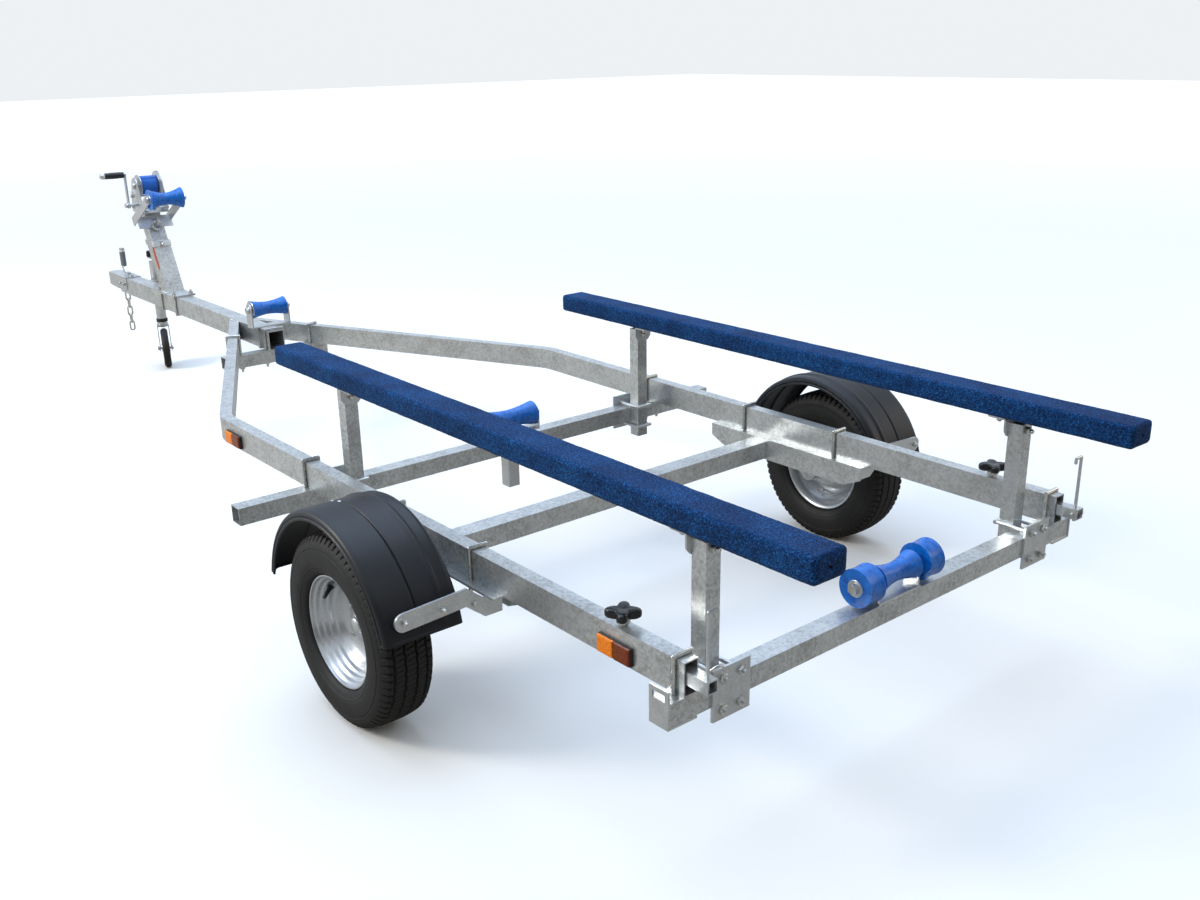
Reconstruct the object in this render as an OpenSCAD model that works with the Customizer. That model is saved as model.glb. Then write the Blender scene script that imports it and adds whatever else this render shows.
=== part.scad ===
// Unbraked single-axle bunk trailer for a small boat, standing on its jockey wheel.
// x runs forward to the coupling, y to the left, z up from the ground; millimetres.

/* [Frame] */
// Half width over the outer faces of the side rails
rail_half_width = 668; // [560:1:760]
// Width of a side rail section
rail_w = 38; // [30:1:60]
// Height of a side rail section
rail_h = 75; // [60:1:120]
// Wall of a side rail section
rail_t = 3; // [2:0.5:5]
// Height of the underside of the side rails above the ground
deck_z = 370; // [360:1:460]
// Rear end of the side rails behind the axle
rear_overhang = 920; // [700:1:1300]
// Start of the bend in the side rails, ahead of the axle
bend_x = 1190; // [1000:1:1500]
// Radius of the bend at the outer face
bend_r = 180; // [120:1:260]
// Angle that the front part of a side rail turns inwards
splay = 24.7; // [15:0.1:30]
// Width of the drawbar section
draw_w = 70; // [60:1:90]
// Height of the drawbar section
draw_h = 80; // [60:1:110]
// Wall of the drawbar section
draw_t = 4; // [3:0.5:6]
// Front end of the drawbar, ahead of the axle
draw_front_x = 3985; // [3200:1:4600]
// Side of the square cross beam sections
beam_w = 50; // [40:1:65]
// Wall of the cross beam sections
beam_t = 3; // [2:0.5:5]
// Front cross beam, ahead of the axle
front_beam_x = 2255; // [1900:1:2450]
// Half length of the front cross beam
front_beam_half = 225; // [200:1:420]
// Middle cross beam, ahead of the axle
mid_beam_x = 630; // [520:1:900]
// Half length of the middle cross beam
mid_beam_half = 888; // [760:1:950]
// Half length of the rear cross beam
rear_beam_half = 706; // [700:1:900]
// Rod diameter of the frame U-bolts
u_rod = 10; // [8:1:12]

/* [Axle and wheels] */
// Wheel centre plane from the trailer's middle
track_half = 868; // [840:1:960]
// Outer radius of the tyre
tyre_r = 243; // [225:1:270]
// Section width of the tyre
tyre_w = 146; // [130:1:175]
// Radius over the rim flanges
rim_r = 142; // [136:1:150]
// Width over the rim flanges
rim_w = 114; // [100:1:130]
// Radius of the hub's stub axle
stub_r = 15; // [12:0.5:20]
// Running clearance of the hub on its stub axle
hub_clear = 0.05; // [0.02:0.01:0.1]
// Axle beam, ahead of the wheel centre
axle_beam_x = 78; // [60:1:120]
// Width of the axle beam section
axle_beam_w = 60; // [50:1:80]
// Height of the axle beam section
axle_beam_h = 55; // [40:1:60]
// Wall of the axle beam section
axle_beam_t = 4; // [3:0.5:6]
// Front end of an axle bracket, ahead of the wheel centre
bracket_front = 290; // [230:1:340]
// Rear end of an axle bracket, behind the wheel centre
bracket_rear = 320; // [250:1:400]
// Plate thickness of the axle brackets
bracket_t = 6; // [4:1:10]
// Depth of an axle bracket's upright flange
bracket_drop = 60; // [56:1:90]
// Ledge of an axle bracket beyond the rail on the outer side
bracket_ledge = 24; // [18:1:40]
// Mudguard's inner radius about its own centre
guard_r = 292; // [282:1:320]
// Sheet thickness of the mudguards
guard_t = 4; // [3:0.5:6]
// Width of a mudguard
guard_w = 205; // [180:1:230]
// Height of the mudguard's centre above the wheel centre
guard_rise = 15; // [0:1:40]
// Width of the flat mudguard stays
stay_w = 44; // [30:1:55]
// Thickness of the flat mudguard stays
stay_t = 6; // [4:1:8]

/* [Bunks and keel rollers] */
// Bunk centre line from the trailer's middle
bunk_y = 544; // [470:1:575]
// Width of a carpeted bunk
bunk_w = 96; // [80:1:130]
// Height of a carpeted bunk
bunk_h = 58; // [45:1:80]
// Underside of the bunks above the ground
bunk_z = 658; // [600:1:800]
// Front end of the bunks, ahead of the axle
bunk_front = 940; // [800:1:1300]
// Rear end of the bunks, behind the axle
bunk_rear = 1160; // [1100:1:1500]
// Side of the square bunk posts
post_w = 40; // [30:1:50]
// Wall of the bunk posts
post_t = 3; // [2:0.5:4]
// Top of the keel roller axles above the rails' underside, front roller
front_roller_rise = 168; // [150:1:220]
// Height of the middle keel roller's axle above the rails' underside
mid_roller_rise = 76; // [60:1:150]
// Height of the rear keel roller's axle above the rails' underside
rear_roller_rise = 52; // [48:1:90]
// Radius of the keel roller axle pins
pin_r = 8; // [6:0.5:10]
// Running clearance of a roller on its pin
pin_clear = 0.05; // [0.02:0.01:0.1]

/* [Winch and coupling] */
// Foot of the winch post, ahead of the axle
winch_x = 3335; // [3000:1:3500]
// Lean of the winch post towards the coupling
winch_lean = 26; // [10:0.5:30]
// Outer side of the winch post section
winch_post_w = 80; // [70:1:100]
// Height of the winch post's top above the ground
winch_post_top = 690; // [640:1:740]
// Height of the winch base above the ground
winch_base_z = 820; // [770:1:900]
// Radius of the winch drum's flanges
drum_r = 50; // [40:1:54]
// Pitch radius of the gear on the winch drum
gear_r = 61; // [56:1:66]
// Pitch radius of the pinion on the crank shaft
pinion_r = 24; // [20:1:28]
// Length of the crank arm between its centres
crank_len = 140; // [110:1:200]
// Socket radius of the coupling for a 50 mm ball
ball_socket_r = 25.2; // [24.8:0.1:26]
// Length of the coupling ahead of the drawbar
coupling_reach = 175; // [140:1:220]

/* [Jockey wheel] */
// Jockey wheel's tube, ahead of the axle
jockey_x = 3780; // [3500:1:3820]
// Outer radius of the clamped tube
jockey_r = 24; // [21:1:30]
// Bore radius of the clamped tube
jockey_bore_r = 20.5; // [16:0.5:26]
// Sliding clearance of the leg and of the tube
jockey_clear = 0.05; // [0.02:0.01:0.1]
// Radius of the jockey wheel
jockey_wheel_r = 100; // [80:1:110]
// Distance of its axle behind the tube
jockey_trail = 60; // [40:1:75]
// Turn of its fork about the tube
jockey_swivel = -19; // [-90:1:90]

/* [Lighting arms] */
// Gap between a lighting arm and the rail's inner walls
arm_gap = 2; // [0.5:0.5:4]
// Length of a lighting arm
arm_len = 480; // [300:1:600]
// Rear end of the arms behind the rails
arm_out = 58; // [40:1:120]
// Height of the arms above the rails' underside
arm_rise = 27; // [20:1:36]
// Star knobs ahead of the rails' rear end
knob_x = 198; // [120:1:260]

/* [Hidden] */
$fn = 64;
rail_y = rail_half_width - rail_w / 2;
mid_roller_z = deck_z + mid_roller_rise;
arm_w = rail_w - 2 * rail_t - 2 * arm_gap;
rail_top = deck_z + rail_h;
beam_z = deck_z - beam_w;
rear_beam_x = -rear_overhang + beam_w / 2;
draw_rear_x = front_beam_x - beam_w / 2;
draw_top = deck_z + draw_h;
touch = 0.2;
wheel_z = tyre_r;
guard_z = wheel_z + guard_rise;
guard_y = track_half - 17;
inner_flange_y = rail_half_width - rail_w - 25;
ledge_y = rail_half_width + bracket_ledge;
flange_z = deck_z - bracket_t;
pivot_z = flange_z - axle_beam_h / 2 - 6;
bend_cy = rail_half_width - bend_r;
bend_rc = bend_r - rail_w / 2;
front_x = draw_front_x + coupling_reach;
rear_x = -rear_overhang - arm_out;
mast_w = winch_post_w - 6.6;
mid_x = (front_x + min(-bunk_rear, rear_x)) / 2;
jockey_y = -(draw_w / 2 + 22 + jockey_r);
fork_top = 2 * jockey_wheel_r + 13;
tube_low = fork_top + 12;
tube_high = draw_top + 88;
head_x = round(winch_x + (winch_base_z - draw_top) * tan(winch_lean));
drum_x = head_x - 30;
drum_z = winch_base_z + 124;
crank_x = drum_x - 12;
crank_z = drum_z - sqrt(pow(gear_r + pinion_r + 0.6, 2) - pow(drum_x - crank_x, 2));
bow_x = head_x - 238;
bow_z = winch_base_z + 77;
arm_low_x = head_x - 8;
arm_low_z = winch_base_z - 44;
hook_x = head_x - 88;
hook_z = arm_low_z + 6;
socket_x = front_x - 40;
arm_z = deck_z + arm_rise;
knob_abs_x = -rear_overhang + knob_x;
front_post_x = mid_beam_x - beam_w / 2 - post_w / 2;
rear_post_x = rear_beam_x + beam_w / 2 + post_w / 2;
post_top = bunk_z - 12;

// y of the centre of the splayed part of the left rail at a given x
function splay_y(x) = bend_cy + bend_rc / cos(splay) - (x - bend_x) * tan(splay);

// everything is drawn from the axle and then set about the middle of the length
module placed() {
  translate([-mid_x, 0, 0]) children();
}

module both_sides() {
  children();
  mirror([0, 1, 0]) children();
}

// block between two corners
module block(a, b) {
  translate(a) cube(b - a);
}

module tube_along_x(x0, x1, yc, z0, w, h, t) {
  difference() {
    block([x0, yc - w / 2, z0], [x1, yc + w / 2, z0 + h]);
    block([x0 - 1, yc - w / 2 + t, z0 + t], [x1 + 1, yc + w / 2 - t, z0 + h - t]);
  }
}

module tube_along_y(half, xc, z0, w, h, t) {
  difference() {
    block([xc - w / 2, -half, z0], [xc + w / 2, half, z0 + h]);
    block([xc - w / 2 + t, -half - 1, z0 + t], [xc + w / 2 - t, half + 1, z0 + h - t]);
  }
}

module tube_upright(x, y, z0, z1, w, t) {
  difference() {
    block([x - w / 2, y - w / 2, z0], [x + w / 2, y + w / 2, z1]);
    block([x - w / 2 + t, y - w / 2 + t, z0 - 1], [x + w / 2 - t, y + w / 2 - t, z1 + 1]);
  }
}

// cylinder along y between two values
module rod_y(x, z, y0, y1, r) {
  translate([x, y0, z]) rotate([-90, 0, 0]) cylinder(h = y1 - y0, r = r);
}

// upright U-bolt that saddles a piece of the given width
module u_bolt(width, top, low) {
  leg = width / 2 + u_rod / 2 + touch;
  bar = top + u_rod / 2 + touch;
  for (s = [-1, 1]) {
    translate([0, s * leg, low]) cylinder(h = bar - low, r = u_rod / 2, $fn = 24);
    translate([0, s * leg, bar]) sphere(r = u_rod / 2, $fn = 24);
  }
  translate([0, -leg, bar]) rotate([-90, 0, 0]) cylinder(h = 2 * leg, r = u_rod / 2, $fn = 24);
}

module u_bolt_holes(width, z0, z1) {
  leg = width / 2 + u_rod / 2 + touch;
  for (s = [-1, 1]) {
    translate([0, s * leg, z0]) cylinder(h = z1 - z0, r = u_rod / 2 + 0.3);
  }
}

module drawbar() {
  color("lightgray") placed() difference() {
    tube_along_x(draw_rear_x, draw_front_x, 0, deck_z, draw_w, draw_h, draw_t);
    translate([draw_front_x - 85, 0, draw_top - draw_t - 1]) cylinder(h = draw_t + 2, r = 6.5);
  }
}

// plan of one face of the left rail, at a distance in from its outer face: straight, bend, splay
function rail_line(off, x0, y1) = concat([[x0, bend_cy + bend_r - off]],
  [for (i = [0:12]) [bend_x + (bend_r - off) * sin(i * splay / 12),
    bend_cy + (bend_r - off) * cos(i * splay / 12)]],
  [[bend_x + (bend_r - off) * sin(splay)
    + (bend_cy + (bend_r - off) * cos(splay) - y1) / tan(splay), y1]]);

function backwards(list) = [for (i = [len(list) - 1:-1:0]) list[i]];

module rail_prism(a, b, x0, y1, z0, h) {
  translate([0, 0, z0]) linear_extrude(h)
    polygon(concat(rail_line(a, x0, y1), backwards(rail_line(b, x0, y1))));
}

module rail_shape() {
  difference() {
    rail_prism(0, rail_w, -rear_overhang, draw_w / 2, deck_z, rail_h);
    rail_prism(rail_t, rail_w - rail_t, -rear_overhang - 1, draw_w / 2 - 5, deck_z + rail_t,
      rail_h - 2 * rail_t);
    translate([knob_abs_x, rail_y, rail_top - rail_t - 1]) cylinder(h = rail_t + 2, r = 5.3);
  }
  // shelf that carries the lighting arm
  block([5 - rear_overhang, rail_y - rail_w / 2 + rail_t - 1, deck_z + arm_rise - 3 - touch],
    [knob_abs_x + 60, rail_y + rail_w / 2 - rail_t + 1, deck_z + arm_rise - touch]);
}

module side_rails() {
  color("lightgray") placed() both_sides() rail_shape();
}

module cross_beams() {
  color("lightgray") placed() {
    difference() {
      tube_along_y(front_beam_half, front_beam_x, beam_z, beam_w, beam_w, beam_t);
      both_sides() translate([front_beam_x, splay_y(front_beam_x), 0]) rotate([0, 0, -splay])
        u_bolt_holes(rail_w, beam_z - 1, deck_z + 1);
      translate([front_beam_x, 0, 0]) u_bolt_holes(draw_w, beam_z - 1, deck_z + 1);
    }
    difference() {
      tube_along_y(mid_beam_half, mid_beam_x, beam_z, beam_w, beam_w, beam_t);
      both_sides() translate([mid_beam_x + 8, rail_y, 0]) u_bolt_holes(rail_w, beam_z - 1, deck_z + 1);
    }
    difference() {
      tube_along_y(rear_beam_half, rear_beam_x, beam_z, beam_w, beam_w, beam_t);
      both_sides() translate([rear_beam_x, rail_y, 0]) u_bolt_holes(rail_w, beam_z - 1, deck_z + 1);
    }
  }
}

module axle_beam() {
  color("lightgray") placed()
    tube_along_y(inner_flange_y, axle_beam_x, flange_z - axle_beam_h, axle_beam_w, axle_beam_h,
      axle_beam_t);
}

module axle_brackets() {
  color("lightgray") placed() both_sides() difference() {
    union() {
      block([-bracket_rear, inner_flange_y, flange_z], [bracket_front, ledge_y, deck_z]);
      translate([0, inner_flange_y + bracket_t, 0]) rotate([90, 0, 0])
        linear_extrude(bracket_t) polygon([[-bracket_rear, flange_z],
          [-bracket_rear, flange_z - bracket_drop * 0.55],
          [-bracket_rear + 60, flange_z - bracket_drop],
          [bracket_front - 60, flange_z - bracket_drop],
          [bracket_front, flange_z - bracket_drop * 0.55], [bracket_front, flange_z]]);
    }
    for (x = [168, -200]) {
      translate([x, rail_y, 0]) u_bolt_holes(rail_w, flange_z - 1, deck_z + 1);
    }
  }
}

module suspension_arms() {
  arm_in = inner_flange_y + 144;
  color("dimgray") placed() both_sides() {
    // housing of the rubber spring under the bracket
    block([axle_beam_x - axle_beam_w / 2, inner_flange_y + bracket_t, flange_z - axle_beam_h],
      [axle_beam_x + axle_beam_w / 2, ledge_y + 30, flange_z]);
    rod_y(axle_beam_x, pivot_z, ledge_y + 30, arm_in, 20);
    // trailing arm and stub axle
    rod_y(axle_beam_x, pivot_z, arm_in, arm_in + 20, 34);
    rod_y(0, wheel_z, arm_in, arm_in + 20, 30);
    translate([0, arm_in + 20, 0]) rotate([90, 0, 0]) linear_extrude(20)
      polygon([for (p = [[-22, 20], [axle_beam_x - 24, 24], [axle_beam_x + 24, -24], [22, -20]])
        p[0] < axle_beam_x / 2 ? [p[0], wheel_z + p[1]] : [p[0], pivot_z + p[1]]]);
    rod_y(0, wheel_z, arm_in + 20, track_half - 14, stub_r);
  }
}

// half-round guard swept over the wheel
module guard_shape() {
  lip = 26;
  w = guard_w / 2;
  r = guard_r + guard_t;
  translate([0, guard_y, guard_z]) rotate([90, 0, 0]) rotate([0, 0, 12])
    rotate_extrude(angle = 156, $fn = 96) difference() {
      polygon([[r - lip, -w], [r - 9, -w], [r - 3, -w + 4], [r, -w + 12], [r, w - 12],
        [r - 3, w - 4], [r - 9, w], [r - lip, w]]);
      polygon([[r - lip - 1, -w + guard_t], [r - 10, -w + guard_t], [guard_r, -w + 13],
        [guard_r, w - 13], [r - 10, w - guard_t], [r - lip - 1, w - guard_t]]);
    }
}

module mudguards() {
  color("darkslategray") placed() both_sides() guard_shape();
}

// flat stay bolted across an end of the guard and tucked under the bracket ledge
module stay_shape() {
  z0 = guard_z + 90;
  x0 = sqrt(pow(guard_r + guard_t, 2) - 90 * 90) + touch;
  translate([x0 + stay_t, 0, 0]) rotate([90, 0, -90]) linear_extrude(stay_t) union() {
    translate([-(guard_y + 54), z0 + stay_w / 2]) circle(r = stay_w / 2);
    polygon([[-(guard_y + 54), z0], [-(ledge_y + 52), z0 + 8], [-(ledge_y + 2), flange_z - 48],
      [-(ledge_y - 46), flange_z - 48], [-(ledge_y - 46), flange_z - touch],
      [-(ledge_y + 3), flange_z - touch], [-(ledge_y + 48), z0 + stay_w + 8],
      [-(guard_y + 54), z0 + stay_w]]);
  }
}

module mudguard_stays() {
  color("silver") placed() both_sides() {
    stay_shape();
    mirror([1, 0, 0]) stay_shape();
  }
}

module frame_u_bolts() {
  color("silver") placed() {
    both_sides() {
      for (x = [168, -200]) {
        translate([x, rail_y, 0]) u_bolt(rail_w, rail_top, flange_z - 22);
      }
      for (x = [mid_beam_x + 8, rear_beam_x]) {
        translate([x, rail_y, 0]) u_bolt(rail_w, rail_top, beam_z - 20);
      }
      translate([front_beam_x, splay_y(front_beam_x), 0]) rotate([0, 0, -splay])
        u_bolt(rail_w, rail_top, beam_z - 20);
    }
    translate([front_beam_x, 0, 0]) u_bolt(draw_w, draw_top, beam_z - 20);
    for (x = [winch_x - 112, winch_x + 64]) {
      // upside down: the bar lies under the drawbar and the legs point up
      translate([x, 0, 2 * deck_z + draw_h]) mirror([0, 0, 1]) u_bolt(draw_w, draw_top, deck_z - 26);
    }
  }
}

module bunk_shape() {
  r = 12;
  translate([-bunk_rear, bunk_y, bunk_z + bunk_h / 2]) rotate([90, 0, 90])
    linear_extrude(bunk_front + bunk_rear) union() {
      square([bunk_w - 2 * r, bunk_h], center = true);
      square([bunk_w, bunk_h - 2 * r], center = true);
      for (a = [-1, 1], b = [-1, 1]) {
        translate([a * (bunk_w / 2 - r), b * (bunk_h / 2 - r)]) circle(r = r);
      }
    }
}

module bunks() {
  color("royalblue") placed() both_sides() bunk_shape();
}

module bunk_posts() {
  color("lightgray") placed() both_sides() {
    difference() {
      tube_upright(front_post_x, bunk_y, beam_z - 45, post_top, post_w, post_t);
      rod_y(front_post_x, post_top - 22, bunk_y - 40, bunk_y + 40, 6.3);
    }
    difference() {
      tube_upright(rear_post_x, bunk_y, beam_z - 12, post_top, post_w, post_t);
      rod_y(rear_post_x, post_top - 22, bunk_y - 40, bunk_y + 40, 6.3);
    }
  }
}

// folded bracket under the bunk, its two ears either side of the post
module bunk_bracket_at(x) {
  y0 = bunk_y - post_w / 2 - touch;
  y1 = bunk_y + post_w / 2 + touch;
  t = 4;
  difference() {
    union() {
      block([x - 52, y0 - t, bunk_z - t - touch], [x + 52, y1 + t, bunk_z - touch]);
      for (y = [y0, y1 + t]) {
        translate([x, y, 0]) rotate([90, 0, 0]) linear_extrude(t) polygon([[-46, bunk_z - t],
          [-46, bunk_z - 12], [-18, post_top - 40], [18, post_top - 40], [46, bunk_z - 12],
          [46, bunk_z - t]]);
      }
    }
    rod_y(x, post_top - 22, y0 - 20, y1 + 20, 6.3);
  }
  // pivot bolt with its head and nut
  rod_y(x, post_top - 22, y0 - t - 9, y1 + t + 9, 6);
  rod_y(x, post_top - 22, y1 + t + touch, y1 + t + 8, 10);
  rod_y(x, post_top - 22, y0 - t - 8, y0 - t - touch, 10);
}

module bunk_brackets() {
  color("silver") placed() both_sides() {
    bunk_bracket_at(front_post_x);
    bunk_bracket_at(rear_post_x);
  }
}

// plate against the beam's far face with two long U-bolts round the post
module post_clamp_at(x, dir) {
  half = post_w / 2 + 32;
  bar_x = x + dir * (post_w / 2 + u_rod / 2 + touch);
  plate_x = x - dir * (post_w / 2 + beam_w + touch);
  z_low = beam_z - u_rod / 2 - 5;
  z_high = deck_z + u_rod / 2 + 5;
  leg = post_w / 2 + u_rod / 2 + touch;
  difference() {
    block([min(plate_x, plate_x - dir * 6), bunk_y - half, z_low - 22],
      [max(plate_x, plate_x - dir * 6), bunk_y + half, z_high + 22]);
    for (z = [z_low, z_high], s = [-1, 1]) {
      translate([plate_x - 10, bunk_y + s * leg, z]) rotate([0, 90, 0]) cylinder(h = 20, r = 5.3);
    }
  }
  for (z = [z_low, z_high]) {
    for (s = [-1, 1]) {
      translate([bar_x, bunk_y + s * leg, z]) rotate([0, -90 * dir, 0])
        cylinder(h = post_w + beam_w + 26, r = u_rod / 2);
      translate([plate_x - dir * (6 + touch), bunk_y + s * leg, z]) rotate([0, -90 * dir, 0])
        cylinder(h = 8, r = 9);
    }
    rod_y(bar_x + dir * 0.4, z, bunk_y - leg - u_rod / 2, bunk_y + leg + u_rod / 2, u_rod / 2 + 0.3);
  }
}

module post_clamps() {
  $fn = 32;
  color("silver") placed() both_sides() {
    post_clamp_at(front_post_x, -1);
    post_clamp_at(rear_post_x, 1);
  }
}

// cradle of the front roller, on a folded plate beside the drawbar
module front_cradle() {
  z = deck_z + front_roller_rise;
  x = front_beam_x + 30;
  half = 78;
  low = draw_top + u_rod + 4;
  difference() {
    union() {
      block([x - 26, -half - 5, low], [x + 26, half + 5, low + 5]);
      for (y = [-half - 5, half]) {
        block([x - 26, y, low], [x + 26, y + 5, z]);
        rod_y(x, z, y, y + 5, 26);
      }
      block([x + 8, draw_w / 2 + touch, deck_z], [x + 26, draw_w / 2 + 12, low]);
      block([x + 8, -draw_w / 2 - 12, deck_z], [x + 26, -draw_w / 2 - touch, low]);
    }
    rod_y(x, z, -half - 20, half + 20, pin_r + 0.2);
  }
  rod_y(x, z, -half - 15, half + 15, pin_r);
}

// square stem of the middle roller behind the middle beam
module middle_stem() {
  x = mid_beam_x - beam_w / 2 - post_w / 2;
  half = 98;
  difference() {
    union() {
      tube_upright(x, 0, beam_z - 95, mid_roller_z - 50, post_w, post_t);
      block([x - 25, -half - 5, mid_roller_z - 50], [x + 25, half + 5, mid_roller_z - 45]);
      for (y = [-half - 5, half]) {
        block([x - 25, y, mid_roller_z - 50], [x + 25, y + 5, mid_roller_z]);
        rod_y(x, mid_roller_z, y, y + 5, 25);
      }
    }
    rod_y(x, mid_roller_z, -half - 20, half + 20, pin_r + 0.2);
  }
  rod_y(x, mid_roller_z, -half - 14, half + 14, pin_r);
}

// bracket of the rear roller between its waist and its end wheels
module rear_cradle() {
  z = deck_z + rear_roller_rise;
  x = rear_beam_x;
  difference() {
    union() {
      block([x - 24, -75, deck_z], [x + 24, 75, deck_z + 5]);
      for (y = [-75, 70]) {
        block([x - 20, y, deck_z], [x + 20, y + 5, z]);
        rod_y(x, z, y, y + 5, 20);
      }
    }
    rod_y(x, z, -100, 100, pin_r + 0.2);
  }
  rod_y(x, z, -142, 142, pin_r);
}

module roller_brackets() {
  color("silver") placed() {
    front_cradle();
    middle_stem();
    rear_cradle();
  }
}

// leaning square tube from the foot, cut level at two heights
module lean_tube(w, t, z0, z1, inset) {
  intersection() {
    translate([winch_x, 0, draw_top]) rotate([0, winch_lean, 0]) difference() {
      block([-w / 2, -w / 2, -60], [w / 2, w / 2, 560]);
      block([-w / 2 + t, -w / 2 + t, -61], [w / 2 - t, w / 2 - t, 561]);
    }
    block([winch_x - 200, -100, z0], [winch_x + 400, 100, z1]);
  }
}

module winch_post() {
  color("lightgray") placed() {
    difference() {
      block([winch_x - 136, -draw_w / 2 - 18, draw_top], [winch_x + 86, draw_w / 2 + 18, draw_top + 8]);
      for (x = [winch_x - 112, winch_x + 64]) {
        translate([x, 0, 0]) u_bolt_holes(draw_w, draw_top - 1, draw_top + 9);
      }
    }
    lean_tube(winch_post_w, 3, draw_top + 8, winch_post_top);
  }
}

module winch_mast() {
  color("lightgray") placed() lean_tube(mast_w, 3, draw_top + 60, winch_base_z);
}

module winch_frame() {
  t = 4;
  color("silver") placed() difference() {
    union() {
      block([drum_x - 66, -61, winch_base_z], [drum_x + 66, 61, winch_base_z + t]);
      for (y = [-61, 61 - t]) {
        translate([0, y + t, 0]) rotate([90, 0, 0]) linear_extrude(t) union() {
          polygon([[drum_x - 66, winch_base_z], [drum_x - 66, winch_base_z + 48],
            [drum_x - 37, drum_z + 8], [drum_x + 37, drum_z + 8],
            [drum_x + 66, winch_base_z + 48], [drum_x + 66, winch_base_z]]);
          translate([drum_x, drum_z]) circle(r = 38);
        }
      }
    }
    rod_y(drum_x, drum_z, -70, 70, 8.05);
    rod_y(crank_x, crank_z, -70, 70, 8.05);
  }
}

module winch_drum() {
  color("silver") placed() {
    rod_y(drum_x, drum_z, -68, 68, 8);
    rod_y(drum_x, drum_z, -41, 41, 20);
    rod_y(drum_x, drum_z, -44, -41, drum_r);
    rod_y(drum_x, drum_z, 41, 44, drum_r);
    rod_y(drum_x, drum_z, -51, -44, gear_r);
  }
}

// webbing wound on the drum between its flanges
module winch_strap() {
  color("dodgerblue") placed() difference() {
    rod_y(drum_x, drum_z, -40.7, 40.7, drum_r - 7);
    rod_y(drum_x, drum_z, -42, 42, 20.3);
  }
}

module winch_crank() {
  color("silver") placed() {
    rod_y(crank_x, crank_z, -68, 114, 8);
    rod_y(crank_x, crank_z, -51, -45, pinion_r);
    rod_y(crank_x, crank_z, 99, 110, 14);
    block([crank_x - 11, 101, crank_z], [crank_x + 11, 107, crank_z + crank_len]);
    rod_y(crank_x, crank_z + crank_len, 100, 108, 13.5);
    rod_y(crank_x, crank_z + crank_len, 106, 218, 6);
    rod_y(crank_x, crank_z + crank_len, 111, 213, 13);
  }
}

// fork-shaped bracket: a cross plate behind the mast and two arms to the roller's pin
module bow_roller_arms() {
  t = 5;
  half = 80;
  run = arm_low_x - bow_x;
  rise = bow_z - arm_low_z;
  turn = atan2(rise, run);
  // rear face of the mast at the height of the arms' lower end
  mast_x = winch_x + (arm_low_z - draw_top) * tan(winch_lean) - mast_w / 2 / cos(winch_lean) - touch;
  lean = 26 * tan(winch_lean);
  color("silver") placed() {
    difference() {
      union() {
        for (y = [-half - t, half]) {
          translate([0, y + t, 0]) rotate([90, 0, 0]) linear_extrude(t) union() {
            polygon([[bow_x - 21 * sin(turn), bow_z - 21 * cos(turn)],
              [arm_low_x - 21 * sin(turn), arm_low_z - 21 * cos(turn)],
              [arm_low_x + 21 * sin(turn), arm_low_z + 21 * cos(turn)],
              [bow_x + 21 * sin(turn), bow_z + 21 * cos(turn)]]);
            translate([bow_x, bow_z]) circle(r = 21);
          }
        }
        translate([0, half + 1, 0]) rotate([90, 0, 0]) linear_extrude(2 * half + 2) polygon([
          [mast_x - lean - t, arm_low_z - 26], [mast_x - lean, arm_low_z - 26],
          [mast_x + lean, arm_low_z + 26], [mast_x + lean - t, arm_low_z + 26]]);
        // lug that the hook hangs on
        block([hook_x - 14, -3, hook_z - 14], [mast_x - 4, 3, hook_z + 14]);
      }
      rod_y(bow_x, bow_z, -half - 20, half + 20, pin_r + 0.2);
      rod_y(hook_x, hook_z, -10, 10, 7);
    }
    rod_y(bow_x, bow_z, -half - 14, half + 14, pin_r);
  }
}

// bobbin with a curved waist, turned about its pin
module bobbin(half, end_r, waist_r, bore_r) {
  rotate([90, 0, 0]) rotate_extrude() polygon(concat([[bore_r, -half]],
    [for (i = [-6:6]) [waist_r + (end_r - waist_r) * pow(abs(i) / 6, 1.7), i * half / 6.0001]],
    [[bore_r, half]]));
}

module bow_roller() {
  color("royalblue") placed() translate([bow_x, 0, bow_z])
    bobbin(75, 47, 27, pin_r + pin_clear);
}

module front_keel_roller() {
  color("royalblue") placed() translate([front_beam_x + 30, 0, deck_z + front_roller_rise])
    bobbin(73, 37, 26, pin_r + pin_clear);
}

module middle_keel_roller() {
  color("royalblue") placed()
    translate([mid_beam_x - beam_w / 2 - post_w / 2, 0, mid_roller_z])
      bobbin(93, 38, 26, pin_r + pin_clear);
}

module rear_keel_roller() {
  color("royalblue") placed() translate([rear_beam_x, 0, deck_z + rear_roller_rise]) {
    bobbin(65, 34, 22, pin_r + pin_clear);
    for (s = [-1, 1]) {
      translate([0, s * 107, 0]) bobbin(25, 45, 43, pin_r + pin_clear);
    }
  }
}

module winch_hook() {
  color("silver") placed() translate([hook_x, 0, hook_z - 22]) rotate([0, 90, 0])
    rotate_extrude() translate([20, 0]) circle(r = 4.7, $fn = 32);
}

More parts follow.
